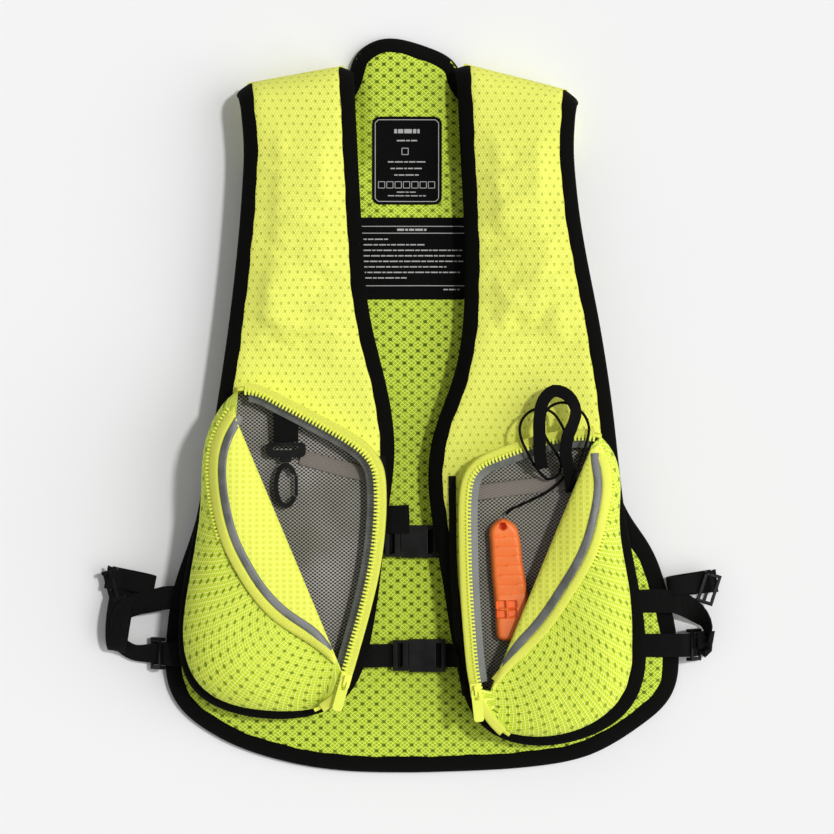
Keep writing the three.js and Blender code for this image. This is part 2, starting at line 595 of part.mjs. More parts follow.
// ---- Whistle in the right pocket, its cord and the flat tether loop that holds it.
const WHISTLE_LOW = POCKET_FLOOR + 2.4;
function whistle() {
  const at = (points) => points.map(([x, y]) => grade(73.5, -92).add(new THREE.Vector2(x, y)));
  const outline = smooth(at([
    [0, 0], [-6, -3], [-10.5, -9], [-10, -20], [-8.6, -45], [-5.6, -75], [-4.6, -95], [-2, -98.5], [5, -99.5],
    [11, -98.5], [15, -92], [22.5, -77], [21, -62], [16.5, -35], [12.6, -9], [7, -2.5],
  ]).concat(at([[0, 0]])), 2).slice(0, -1);
  const eye = roundedRectangle(...at([[1, -6.5]])[0].toArray(), 6, 5, 2.4);
  const windows = [[1.2, -72.5], [12, -73.5], [2, -82], [12.6, -82]].map(([x, y]) =>
    roundedRectangle(...at([[x, y]])[0].toArray(), 8.4, 6, 1),
  );
  add("whistle", plate(outline, WHISTLE_LOW, WHISTLE_LOW + WHISTLE_THICKNESS, [eye, ...windows]), ORANGE);
}

// The cord's route, chosen by hand: out of the tether, two loops over the pocket's edge, then the whistle.
const CORD_ROUTE = [
  [129, -67, 61.2], [132, -57, 65.4], [136, -45, 69], [140, -33, 72], [142.5, -20, 70.5], [139, -9.5, 64],
  [132.5, -3.5, 59], [122.5, 0.8, 56], [113.5, -1.6, 56.5], [108, -7, 59], [105, -16, 66], [106.5, -24.5, 70.5],
  [110.5, -31.8, 70.5], [116.8, -40.6, 67.5], [120.5, -49, 62], [118, -57.5, 57.5], [110, -61, 56], [101, -52.5, 60],
  [94, -41, 69.2], [88.5, -29.5, 71], [87, -19.8, 66.5], [90.5, -11, 60], [98.5, -5, 54.5], [106, -4, 52.5],
  [113.5, -7.2, 55], [121, -18, 67], [125, -28.5, 70.2], [127.5, -37.5, 67.5], [127.5, -48, 61.5],
  [122.5, -60, 53.5], [112.5, -69.5, 53], [101, -76, 53], [88, -82, 54], [80, -85.8, 55.5], [76.4, -89.4, 56],
];
function whistleCord() {
  const route = new THREE.CatmullRomCurve3(CORD_ROUTE.map((p) => new THREE.Vector3(...p)), false, "centripetal");
  const sides = 8;
  const section = new THREE.Shape(
    Array.from({ length: sides }, (_, i) => {
      const angle = (i / sides) * 2 * Math.PI;
      return new THREE.Vector2(Math.cos(angle), Math.sin(angle)).multiplyScalar(CORD_DIAMETER / 2);
    }),
  );
  add("whistle_cord", new THREE.ExtrudeGeometry(section, { extrudePath: route, steps: 80, bevelEnabled: false }), BLACK);
}
function tetherLoop() {
  add("tether_loop", webbing([
    [105.5, -52, 63.4, 1, 0.3, 0], [103.5, -42, 70, 1, 0, 0], [103, -29, 74, 1, 0, 0], [103, -13, 71.5, 1, 0, 0],
    [106.5, 3, 65.5, 0.9, -0.45, 0], [115, 10.6, 63, 0.1, -1, 0], [126, 7, 63, -0.75, -0.6, 0.1],
    [132.5, -5, 66, -1, 0.05, 0.5], [130, -16, 71, -0.9, 0.3, 0.5], [125.5, -26.5, 76, -1, 0.1, 0.1],
    [124, -39, 72.5, -1, 0, 0], [127.5, -55, 63.6, -1, -0.1, 0], [129.5, -71, 58, -1, -0.1, 0],
  ], 10, 1.5), BLACK);
}

backPanel();
label("care_label", CARE_LABEL);
label("warning_label", WARNING_LABEL);
shoulders();
for (const part of [LEFT, RIGHT]) {
  frontPanel(part);
  pocketShell(part);
  flap(part);
  zip(part);
}
BUCKLES.forEach(buckle);
sideStraps("left", -1, { hemX: 200, upperY: -158, lowerX: 203, lowerY: -204, tailGap: 18.6 });
sideStraps("right", 1, { hemX: 214, upperY: -161, lowerX: 227, lowerY: -197, tailGap: 20.4 });
keyClip();
whistle();
whistleCord();
tetherLoop();

// The origin is the middle of the footprint, on the floor.
const bounds = new THREE.Box3().setFromObject(vest, true);
const centre = bounds.getCenter(new THREE.Vector3());
vest.position.set(-centre.x, -centre.y, -bounds.min.z);

export default vest;
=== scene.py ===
"""A neon buoyancy vest lying on its back with both pockets unzipped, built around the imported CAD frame.

Everything is in metres in the row frame. A piece's "flat" coordinates are its cloth's own x and y, from
before over_shoulder() rolls it into place; the knit patterns follow them.
"""

import json
import math

import bmesh
import bpy
import numpy as np
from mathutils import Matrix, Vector, noise
from mathutils.bvhtree import BVHTree
from mathutils.geometry import delaunay_2d_cdt


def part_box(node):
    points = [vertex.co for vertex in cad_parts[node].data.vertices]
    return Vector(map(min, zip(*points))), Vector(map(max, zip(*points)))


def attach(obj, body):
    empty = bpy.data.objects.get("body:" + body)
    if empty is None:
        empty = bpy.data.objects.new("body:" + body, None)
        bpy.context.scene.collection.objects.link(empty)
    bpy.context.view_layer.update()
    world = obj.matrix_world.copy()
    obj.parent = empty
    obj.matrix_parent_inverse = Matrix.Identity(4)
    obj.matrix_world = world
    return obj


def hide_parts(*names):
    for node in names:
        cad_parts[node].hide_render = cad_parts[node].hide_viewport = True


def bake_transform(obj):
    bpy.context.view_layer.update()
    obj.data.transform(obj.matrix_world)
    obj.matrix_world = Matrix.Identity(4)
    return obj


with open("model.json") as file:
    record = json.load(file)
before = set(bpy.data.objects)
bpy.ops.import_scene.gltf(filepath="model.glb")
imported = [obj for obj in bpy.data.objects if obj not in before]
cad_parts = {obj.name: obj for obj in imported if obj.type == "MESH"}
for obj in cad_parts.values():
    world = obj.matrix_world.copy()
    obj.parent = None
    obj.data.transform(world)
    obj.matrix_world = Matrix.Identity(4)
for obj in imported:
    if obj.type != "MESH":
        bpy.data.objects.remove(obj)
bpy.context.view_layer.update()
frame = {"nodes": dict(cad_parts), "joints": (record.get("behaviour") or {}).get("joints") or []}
JOINTS = {j["name"]: j for j in frame["joints"]}
MM = 0.001
TURN = 2 * math.pi

# ---- Camera, straight above the vest, and the studio. A sun is its name, energy, angle and two leans.
VIEW_CENTRE = Vector((4.5 * MM, -10.3 * MM, 0))
CAMERA_HEIGHT = 3.0
LENS = 157.5
SKY_STRENGTH = 0.34
SUNS = (("key", 1.5, 5, 25, -10), ("softbox", 1.35, 55, 52, 6))
FLOOR_HALF = 40


def studio():
    scene = bpy.context.scene
    camera = bpy.data.objects.new("camera", bpy.data.cameras.new("camera"))
    scene.collection.objects.link(camera)
    camera.location = VIEW_CENTRE + Vector((0, 0, CAMERA_HEIGHT))
    camera.data.lens = LENS
    camera.data.sensor_width = 36
    camera.data.clip_end = 50
    scene.camera = camera
    scene.view_settings.view_transform = "Standard"

    world = bpy.data.worlds.new("studio")
    world.use_nodes = True
    sky = world.node_tree.nodes["Background"]
    sky.inputs["Color"].default_value = (1, 1, 1, 1)
    sky.inputs["Strength"].default_value = SKY_STRENGTH
    scene.world = world

    for name, energy, spread, aside, ahead in SUNS:
        light = bpy.data.lights.new(name, "SUN")
        light.energy = energy
        light.angle = math.radians(spread)
        lamp = bpy.data.objects.new(name, light)
        lamp.rotation_euler = (math.radians(ahead), math.radians(aside), 0)
        scene.collection.objects.link(lamp)

    corners = [(x * FLOOR_HALF, y * FLOOR_HALF, 0) for x, y in ((-1, -1), (1, -1), (1, 1), (-1, 1))]
    floor = piece("floor", corners, [(0, 1, 2, 3)], plain("floor_paper", (0.88, 0.88, 0.885), 0.95), None)


# ---- Small tools for outlines. A line is an array of x and y.
def loop_of(node):
    """The outline of a plate's top face, anticlockwise."""
    bm = bmesh.new()
    bm.from_mesh(frame["nodes"][node].data)
    bmesh.ops.remove_doubles(bm, verts=bm.verts, dist=5e-6)
    bm.normal_update()
    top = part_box(node)[1].z
    faces = {f for f in bm.faces if f.normal.z > 0.9 and f.calc_center_median().z > top - 1e-4}
    after = {}
    for face in faces:
        for loop in face.loops:
            if sum(f in faces for f in loop.edge.link_faces) == 1:
                after[loop.vert] = loop.link_loop_next.vert
    start = min(after, key=lambda v: (v.co.x, v.co.y))
    walked = [start]
    while after[walked[-1]] is not start:
        walked.append(after[walked[-1]])
    line = np.array([v.co.xy for v in walked])
    bm.free()
    return line


def lengths(line):
    return np.concatenate([[0], np.cumsum(np.linalg.norm(np.diff(line, axis=0), axis=1))])


def ringed(loop):
    """A closed loop with its first point again at its end."""
    return np.vstack([loop, loop[:1]])


def resample(line, step, count=None):
    """The same open line with points at equal spacing."""
    line = np.asarray(line, float)
    run = lengths(line)
    count = count or max(2, int(round(run[-1] / step)) + 1)
    places = np.linspace(0, run[-1], count)
    return np.stack([np.interp(places, run, line[:, k]) for k in range(line.shape[1])], 1)


def fair(line, passes=8):
    """The same line with its small corners softened and its ends kept."""
    line = np.array(line, float)
    for _ in range(passes):
        line[1:-1] = line[1:-1] * 0.5 + (line[:-2] + line[2:]) * 0.25
    return line


def side_of(line):
    """Unit vectors to the left of the line's way at each point."""
    way = np.gradient(line[:, :2], axis=0)
    way /= np.linalg.norm(way, axis=1)[:, None]
    return np.stack([-way[:, 1], way[:, 0]], 1)


def loop_side(loop):
    """side_of for a closed loop."""
    return side_of(np.vstack([loop[-1:], loop, loop[:1]]))[1:-1]


def moved(line, distance):
    return line + side_of(line) * distance


def smoothstep(x, low=0.0, high=1.0):
    t = np.clip((np.asarray(x, float) - low) / (high - low), 0, 1)
    return t * t * (3 - 2 * t)


def distance_to(points, line):
    """Each point's distance to an open line."""
    a, b = line[:-1], line[1:]
    d = b - a
    best = np.full(len(points), 1e9)
    for start, way in zip(a, d):
        t = np.clip(((points - start) @ way) / max(way @ way, 1e-12), 0, 1)
        best = np.minimum(best, np.linalg.norm(points - start - t[:, None] * way, axis=1))
    return best


def inside(points, loop):
    """Whether each point is inside the closed loop."""
    x, y = points[:, 0], points[:, 1]
    found = np.zeros(len(points), bool)
    for (x0, y0), (x1, y1) in zip(loop, np.roll(loop, -1, axis=0)):
        if y0 != y1:
            crossing = (y0 > y) != (y1 > y)
            found ^= crossing & (x < (x1 - x0) * (y - y0) / (y1 - y0) + x0)
    return found


def ripple(points, size, seed, ways=(1, 1)):
    """Smooth seeded noise from -1 to 1 at each point, with lumps about size across."""
    k = 1 / size
    return np.array([noise.noise(Vector((x * k * ways[0], y * k * ways[1], seed))) for x, y in points[:, :2]])


# ---- Meshes.
def piece(name, verts, faces, material, body, flat=None, sharp=50):
    """A shaded mesh object that rides on a body. flat holds the cloth's own x and y for its pattern."""
    mesh = bpy.data.meshes.new(name)
    mesh.from_pydata([tuple(map(float, v)) for v in verts], [], [tuple(map(int, f)) for f in faces])
    mesh.validate()
    mesh.materials.append(material)
    mesh.shade_smooth()
    mesh.set_sharp_from_angle(angle=math.radians(sharp))
    flat = np.asarray(verts, float)[:, :2] if flat is None else np.asarray(flat, float)
    layer = mesh.uv_layers.new(name="flat")
    index = np.zeros(len(mesh.loops), int)
    mesh.loops.foreach_get("vertex_index", index)
    layer.data.foreach_set("uv", flat[index].astype(np.float32).ravel())
    obj = bpy.data.objects.new(name, mesh)
    bpy.context.scene.collection.objects.link(obj)
    if body:
        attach(obj, body)
    return obj


def filled(loop, step):
    """Points and triangles that fill a loop, with the triangles anticlockwise."""
    low, high = loop.min(0), loop.max(0)
    rows = np.arange(low[1] + step / 2, high[1], step * 0.866)
    grid = [
        (x, y)
        for i, y in enumerate(rows)
        for x in np.arange(low[0] + step * (0.25 + 0.5 * (i % 2)), high[0], step)
    ]
    grid = np.array(grid)
    grid = grid[inside(grid, loop)]
    grid = grid[distance_to(grid, ringed(loop)) > 0.55 * step]
    count = len(loop)
    points = [Vector(p) for p in np.vstack([loop, grid])]
    edges = [(i, (i + 1) % count) for i in range(count)]
    verts, _, faces, *_ = delaunay_2d_cdt(points, edges, [], 1, 1e-7)
    points = np.array([v[:] for v in verts])
    turned = []
    for a, b, c in faces:
        p, q, r = points[a], points[b], points[c]
        area = (q[0] - p[0]) * (r[1] - p[1]) - (q[1] - p[1]) * (r[0] - p[0])
        turned.append((a, b, c) if area > 0 else (a, c, b))
    return points, turned


def plate(node, edge_step, step):
    """Points and triangles that fill a CAD plate's outline, and each point's distance to its edge."""
    edge = ringed(loop_of(node))
    points, faces = filled(resample(edge, edge_step)[:-1], step)
    return points, faces, distance_to(points, edge)


def closed(points, faces, low, high):
    """A closed body between two height fields over the same triangles."""
    count = len(points)
    verts = np.vstack([np.column_stack([points, high]), np.column_stack([points, low])])
    used = {pair: True for face in faces for pair in zip(face, face[1:] + face[:1])}
    rim = [(a, b) for a, b in used if (b, a) not in used]
    made = list(faces) + [(c + count, b + count, a + count) for a, b, c in faces]
    made += [(b, a, a + count, b + count) for a, b in rim]
    return verts, made


def swept(rings):
    """Points and faces of a closed tube through rings of equal point count."""
    count = len(rings[0])
    verts = np.vstack(rings)
    faces = []
    for r in range(len(rings) - 1):
        for i in range(count):
            a, b = r * count + i, r * count + (i + 1) % count
            faces.append((a, b, b + count, a + count))
    faces.append(tuple(range(count))[::-1])
    last = (len(rings) - 1) * count
    faces.append(tuple(last + i for i in range(count)))
    return verts, faces


def outward(verts, faces):
    """The faces turned so that the body they close has a volume above zero."""
    v = np.asarray(verts)
    volume = 0.0
    for f in faces:
        for i in range(1, len(f) - 1):
            volume += np.dot(v[f[0]], np.cross(v[f[i]], v[f[i + 1]]))
    return faces if volume > 0 else [tuple(reversed(f)) for f in faces]


def loft(name, rings, material, body, flat=None, sharp=60):
    """A closed tube through rings, as a piece."""
    verts, faces = swept(rings)
    return piece(name, verts, outward(verts, faces), material, body, flat, sharp)


def bricks(name, places, size, material, body, taper=0.75):
    """Many small tapered bricks in one mesh. A place is a point, the brick's long way, and its up way."""
    verts, faces = [], []
    for centre, way, up in places:
        way = np.asarray(way) / np.linalg.norm(way)
        up = np.asarray(up) - np.dot(up, way) * way
        up /= np.linalg.norm(up)
        across = np.cross(up, way)
        first = len(verts)
        for h, grow in ((-0.5, 1), (0.25, 1), (0.5, taper)):
            for a, b in ((-1, -1), (1, -1), (1, 1), (-1, 1)):
                verts.append(
                    np.asarray(centre)
                    + way * a * grow * size[0] / 2
                    + across * b * grow * size[1] / 2
                    + up * h * size[2]
                )
        for r in (0, 4):
            faces += [
                (first + r + i, first + r + (i + 1) % 4, first + r + 4 + (i + 1) % 4, first + r + 4 + i)
                for i in range(4)
            ]
        faces += [tuple(first + i for i in (3, 2, 1, 0)), tuple(first + i for i in (8, 9, 10, 11))]
    return piece(name, verts, faces, material, body, sharp=30)


# ---- Materials: a short notation for shader nodes.
class Value:
    """A shader socket that takes part in sums."""

    def __init__(self, shader, socket):
        self.shader, self.socket = shader, socket

    def made(self, operation, *others):
        return self.shader.value("Math", [self, *others], operation=operation)

    def __add__(self, other):
        return self.made("ADD", other)

    def __sub__(self, other):
        return self.made("SUBTRACT", other)

    def __mul__(self, other):
        return self.made("MULTIPLY", other)

    def __truediv__(self, other):
        return self.made("DIVIDE", other)

    def cos(self):
        return self.made("COSINE")

    def sin(self):
        return self.made("SINE")


class Shader:
    def __init__(self, name, color, roughness, **settings):
        self.material = bpy.data.materials.new(name)
        self.material.use_nodes = True
        self.tree = self.material.node_tree
        self.surface = self.tree.nodes["Principled BSDF"]
        self.set("Base Color", (*color, 1))
        self.set("Roughness", roughness)
        for key, value in settings.items():
            self.set(key.replace("_", " "), value)

    def feed(self, place, value):
        """Link a Value to an input, or give the input a constant."""
        if isinstance(value, Value):
            self.tree.links.new(value.socket, place)
        else:
            place.default_value = value

    def set(self, key, value):
        self.feed(self.surface.inputs[key], value)

    def node(self, kind, values=(), **settings):
        made = self.tree.nodes.new("ShaderNode" + kind)
        for key, value in settings.items():
            setattr(made, key, value)
        for place, value in values.items() if isinstance(values, dict) else enumerate(values):
            self.feed(made.inputs[place], value)
        return made

    def value(self, kind, values=(), output=0, **settings):
        return Value(self, self.node(kind, values, **settings).outputs[output])

    def split(self, vector):
        parts = self.node("SeparateXYZ", [vector])
        return Value(self, parts.outputs[0]), Value(self, parts.outputs[1])

    def flat(self):
        """The cloth's own x and y."""
        return self.split(self.value("UVMap", uv_map="flat"))

    def place(self):
        return self.value("TexCoord", output="Object")

    def noise(self, scale, detail=2.0):
        return self.value("TexNoise", {"Vector": self.place(), "Scale": scale, "Detail": detail})

    def ramp(self, value, low, high, start=0.0, end=1.0):
        """A soft step of value from low to high, given as start to end."""
        steps = {"clamp": True, "interpolation_type": "SMOOTHSTEP"}
        return self.value("MapRange", [value, low, high, start, end], **steps)

    def mix(self, share, a, b):
        made = self.node("Mix", data_type="RGBA")
        self.feed(made.inputs[0], share)
        for place, color in ((6, a), (7, b)):
            self.feed(made.inputs[place], color if isinstance(color, Value) else (*color, 1))
        return Value(self, made.outputs[2])

    def bump(self, height, depth, strength):
        self.set("Normal", self.value("Bump", {"Height": height, "Distance": depth, "Strength": strength}))


def scaled(color, *share):
    """A colour made darker or lighter, by one share or by one for each channel."""
    return tuple(min(1.0, c * k) for c, k in zip(color, share * 3 if len(share) == 1 else share))


def plain(name, color, roughness):
    return Shader(name, color, roughness).material


def lattice(x, y, wide, tall):
    """Two waves whose common peaks are the points of a centred lattice."""
    u, v = x / wide, y / tall
    return (u + v) * TURN, (u - v) * TURN


def neon_mesh(name, color, hollow, thread, hole, lines=1.0, cell=(11.5 * MM, 9.6 * MM), shade=1.0, rows=0.0):
    """Knitted spacer mesh: soft holes on a centred lattice with thin crossed threads between them."""
    s = Shader(name, color, 0.75, Specular_IOR_Level=0.22)
    x, y = s.flat()
    sway = s.ramp(s.noise(16.0), 0.2, 0.8, -0.9 * MM, 0.9 * MM)
    x, y = x + sway, y - sway
    a, b = lattice(x, y, *cell)
    both = (a.cos() + b.cos()) * 0.5
    if rows:
        both = both + ((y * (2 * TURN / cell[1])).cos() - 1.0) * rows
    dot = s.ramp(both, hole, hole + 0.34)
    fine = [(w * 3.0).cos() * -1.0 for w in (a, b)]
    threads = s.ramp(fine[0].made("MAXIMUM", fine[1]), 0.35, 1.0)
    worn = s.mix(s.ramp(s.noise(9.0, 3.0), 0.3, 0.75, 0.0, 0.4), color, scaled(color, 0.8))
    lit = s.mix(threads * lines, worn, thread)
    depth = dot * s.ramp(s.noise(23.0), 0.3, 0.7, shade * 0.65, shade)
    s.set("Base Color", s.mix(depth, lit, hollow))
    s.bump(threads * 0.5 - dot, 0.8 * MM, 0.8)
    return s.material


def neon_grid(name, color, hollow, pitch, shade):
    """Finer mesh with its small holes in straight rows."""
    s = Shader(name, color, 0.7, Specular_IOR_Level=0.3)
    x, y = s.flat()
    waves = [(w * (TURN / p)).cos() for w, p in ((x, pitch), (y, pitch * 0.82))]
    dot = s.ramp((waves[0] + waves[1]) * 0.5, 0.5, 0.95)
    cross = s.ramp((waves[0] * -1.0).made("MAXIMUM", waves[1] * -1.0), 0.5, 1.0)
    worn = s.mix(s.ramp(s.noise(8.0, 3.0), 0.3, 0.75, 0.0, 0.3), color, scaled(color, 0.84))
    lit = s.mix(cross * 0.35, worn, (min(1, color[0] * 1.15), 1.0, color[2] * 2))
    s.set("Base Color", s.mix(dot * shade, lit, hollow))
    s.bump(cross * 0.4 - dot, 0.6 * MM, 0.6)
    return s.material


def net(name, thread, hollow, pitch):
    """Open net with diamond holes, and darker olive clouds at random as painted shade with a green cast."""
    s = Shader(name, thread, 0.6)
    a, b = lattice(*s.flat(), pitch * 1.25, pitch)
    dot = s.ramp((a.cos() + b.cos()) * 0.5, -0.1, 0.2)
    soft = s.ramp(s.noise(14.0), 0.35, 0.7, 0.0, 0.8)
    # Darker olive clouds at random: painted shade with a green cast.
    s.set("Base Color", s.mix(dot, s.mix(soft, thread, scaled(thread, 0.5, 0.52, 0.4)), hollow))
    s.bump(dot * -1.0, 0.5 * MM, 0.8)
    return s.material


def woven(name, color, light, rib, roughness=0.85, gloss=0.08):
    """Tape or webbing: fine ribs, a crossing weave and a little fluff."""
    s = Shader(name, color, roughness, Specular_IOR_Level=gloss)
    x, y = s.split(s.place())
    lean, cross = ((w * (TURN / rib)).sin() for w in (x + y, x - y))
    weave = lean * cross
    fluff = s.noise(900.0, 3.0)
    share = s.ramp(weave, -0.6, 1.0) * s.ramp(fluff, 0.3, 0.7, 0.5, 1.0)
    s.set("Base Color", s.mix(share, color, light))
    s.bump(weave + fluff, 0.25 * MM, 0.7)
    return s.material


def reflective(name, color, dull, bright, painted_glint):
    """Grey glass-bead tape: a fine painted glint of the beads over soft scuffs."""
    s = Shader(name, color, 0.5, Metallic=0.15)
    beads = s.noise(2600.0, 1.0)
    scuff = s.noise(60.0, 4.0)
    tone = s.mix(s.ramp(scuff, 0.35, 0.7), dull, bright)
    # Fine bead specks mixed towards the lightest colour: a painted glint of the glass beads.
    s.set("Base Color", s.mix(s.ramp(beads, 0.55, 0.75, 0.0, 0.4), tone, painted_glint))
    s.set("Roughness", s.ramp(scuff, 0.2, 0.8, 0.35, 0.6))
    s.bump(beads, 0.1 * MM, 0.5)
    return s.material


def moulded(name, color, roughness, gloss=0.5):
    """Moulded plastic: fine grain, slight blotches of gloss, and worn lighter spots."""
    s = Shader(name, color, roughness, Specular_IOR_Level=gloss)
    fine, broad = s.noise(700.0), s.noise(70.0, 3.0)
    light = tuple(min(1.0, c * 1.25 + 0.003) for c in color)
    s.set("Base Color", s.mix(s.ramp(broad, 0.45, 0.8, 0.0, 0.6), color, light))
    s.set("Roughness", s.ramp(broad, 0.2, 0.8, roughness * 0.8, roughness * 1.35))
    s.bump(fine, 0.06 * MM, 0.5)
    return s.material


def ribbed(name, color, light, pitch, lean):
    """Knitted elastic: ribs across its width."""
    s = Shader(name, color, 0.7)
    x, y = s.flat()
    rib = ((x * lean + y) * (TURN / pitch)).sin()
    s.set("Base Color", s.mix(s.ramp(rib, -1.0, 1.0), color, light))
    s.bump(rib, 0.25 * MM, 0.6)
    return s.material


CHEST = neon_mesh(
    "chest_mesh", (0.90, 0.955, 0.10), (0.40, 0.52, 0.012), (0.98, 1.0, 0.28), 0.46, 0.8,
    cell=(6.8 * MM, 12.6 * MM), shade=0.72, rows=0.5,
)
# The back's neon mesh has its colour, hollows and threads painted far darker and greener than the chest's.
# This is painted shade for the shade that falls between and under the front panels. Its coarser open knit is
# its own.
BODY = neon_mesh("body_mesh", (0.37, 0.53, 0.010), (0.075, 0.135, 0.002), (0.84, 0.98, 0.14), 0.44)
DOME = neon_mesh("pocket_mesh", (0.60, 0.77, 0.020), (0.20, 0.31, 0.004), (0.92, 1.0, 0.20), 0.5)
FACING = neon_grid("facing_cloth", (0.83, 0.875, 0.105), (0.60, 0.70, 0.03), 5.4 * MM, 0.35)
BINDING = woven("binding_tape", (0.0012, 0.0012, 0.001), (0.0055, 0.0052, 0.0044), 1.2 * MM)
WEBBING = woven("webbing", (0.0018, 0.0018, 0.0018), (0.009, 0.009, 0.009), 1.9 * MM, gloss=0.14)
TETHER = woven("tether_elastic", (0.0018, 0.0018, 0.0018), (0.008, 0.008, 0.008), 1.0 * MM, gloss=0.12)
NET = net("pocket_net", (0.45, 0.42, 0.385), (0.008, 0.008, 0.006), 2.9 * MM)
# The last colour is the beads' painted glint.
TAPE = reflective(
    "reflective_tape", (0.14, 0.145, 0.135), (0.105, 0.11, 0.10), (0.175, 0.18, 0.17), (0.34, 0.35, 0.33)
)
ELASTIC = ribbed("organiser_elastic", (0.16, 0.135, 0.115), (0.27, 0.235, 0.205), 1.3 * MM, 0.27)
ZIP_TAPE = woven("zip_tape", (0.90, 0.95, 0.10), (0.97, 1.0, 0.2), 1.0 * MM, 0.6, 0.3)
ZIP_PLASTIC = moulded("zip_plastic", (0.86, 0.93, 0.11), 0.33)
PLASTIC = moulded("buckle_plastic", (0.0022, 0.0022, 0.0023), 0.36, 0.2)
ORANGE = moulded("whistle_plastic", (0.90, 0.19, 0.035), 0.42)
CORD = woven("cord_braid", (0.003, 0.003, 0.003), (0.012, 0.012, 0.012), 0.9 * MM)
LABEL = woven("label_satin", (0.002, 0.002, 0.002), (0.006, 0.006, 0.006), 0.6 * MM, 0.6, 0.12)
PRINT = moulded("label_print", (0.40, 0.40, 0.385), 0.6, 0.2)

# ---- Levels and the shoulder's turn, from the frame.
FRONT_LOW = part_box("left_front_lining")[0].z
FRONT_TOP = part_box("left_front_shell")[1].z
BACK_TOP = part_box("back_inner_mesh")[1].z
FRONT_MIDDLE = (FRONT_LOW + FRONT_TOP) / 2
TURN_LEVEL = (BACK_TOP + FRONT_LOW) / 2
TURN_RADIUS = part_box("left_shoulder_pad")[1].z - TURN_LEVEL
EDGE_GROWTH = 3.3 * MM  # from the CAD shells' outline to the binding's outside
EDGE_TUCK = 1.2 * MM  # the cloth stops this far inside the binding's outside
EDGE_HALF = 2.4 * MM  # half the cloth's thickness under the binding
BINDING_WIDTH = 10.5 * MM
SIDES = {
    "left": {"sign": -1, "body": "left_front", "flap": "left_flap"},
    "right": {"sign": 1, "body": "right_front", "flap": "right_flap"},
}


def furthest(points, way):
    return points[np.argmax(points @ np.array(way, float))]


def shoulder_lines():
    """For each side, the shoulder's outer and inner top corners seen from above."""
    for name, side in SIDES.items():
        pad = np.array([v.co.xy for v in frame["nodes"][name + "_shoulder_pad"].data.vertices])
        side["outer_top"] = furthest(pad, (side["sign"], 1.0))
        side["inner_top"] = furthest(pad, (-side["sign"] * 0.5, 1.0))


def top_line(side, x):
    """The shoulder's furthest y at x."""
    outer, inner = side["outer_top"], side["inner_top"]
    return inner[1] + (outer[1] - inner[1]) * (x - inner[0]) / (outer[0] - inner[0])


def over_shoulder(verts, side, lower=False):
    """Flat cloth rolled over the shoulder's edge, or its mirror image below."""
    verts = np.array(verts, float)
    if lower:
        verts[:, 2] = 2 * TURN_LEVEL - verts[:, 2]
    start = top_line(side, verts[:, 0]) - TURN_RADIUS
    angle = np.clip((verts[:, 1] - start) / TURN_RADIUS, 0, math.pi / 2)
    reach = verts[:, 2] - TURN_LEVEL
    rolled = verts[:, 1] > start
    verts[:, 1] = np.where(rolled, start + reach * np.sin(angle), verts[:, 1])
    verts[:, 2] = np.where(rolled, TURN_LEVEL + reach * np.cos(angle), verts[:, 2])
    if lower:
        verts[:, 2] = 2 * TURN_LEVEL - verts[:, 2]
    return verts


def crowned(distance, middle, half, edge_middle, edge_half, reach=17 * MM):
    """The cloth's lower and upper heights at a distance from its bound edge."""
    rise = np.sin(np.clip(distance / reach, 0, 1) * math.pi / 2)
    centre = edge_middle + (middle - edge_middle) * rise
    return centre - (edge_half + (half - edge_half) * rise), centre + (edge_half + (half - edge_half) * rise)


BOUND_TOP = ((-1.3, 0.0), (0.2, 0.55), (2.5, 0.75), (6, 0.8))  # mm in from the edge, and mm above the cloth


def binding(name, line, heights, body, nodes=(), shape=None, width=BINDING_WIDTH, sign=1, blend=None):
    """Tape folded over an edge: line is the edge, with the cloth on its left for sign 1."""
    line = resample(fair(resample(line, 4 * MM), 4), 3.2 * MM)
    inward = side_of(line) * sign
    rings = []
    for i, (p, n) in enumerate(zip(line, inward)):
        ring = []
        wave = 0.25 * MM * math.sin(i * 0.9) + 0.3 * MM * math.sin(i * 0.37)
        for e, lift in (*BOUND_TOP, (width / MM - 1.2, 0.75), (width / MM, 0.25)):
            low, high = heights(max(e, 0) * MM)
            q = p + n * (e * MM + (wave if e > 6 else 0))
            ring.append((q[0], q[1], (high + lift * MM) if e > 0 else (low + high) / 2 + 0.9 * MM))
        for e, lift in ((width / MM, 0.25), (6, 0.8), (0.2, 0.55), (-1.3, 0.0)):
            low, high = heights(max(e, 0) * MM)
            q = p + n * e * MM
            ring.append((q[0], q[1], max(low - lift * MM, 0.0002) if e > 0 else (low + high) / 2 - 0.9 * MM))
        rings.append(np.array(ring))
    flat = np.vstack(rings)[:, :2]
    if shape:
        rings = [shape(ring) for ring in rings]
    made = loft(name, rings, BINDING, None if blend else body, flat)
    if blend:
        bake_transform(made)
    if nodes:
        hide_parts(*nodes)
    return made


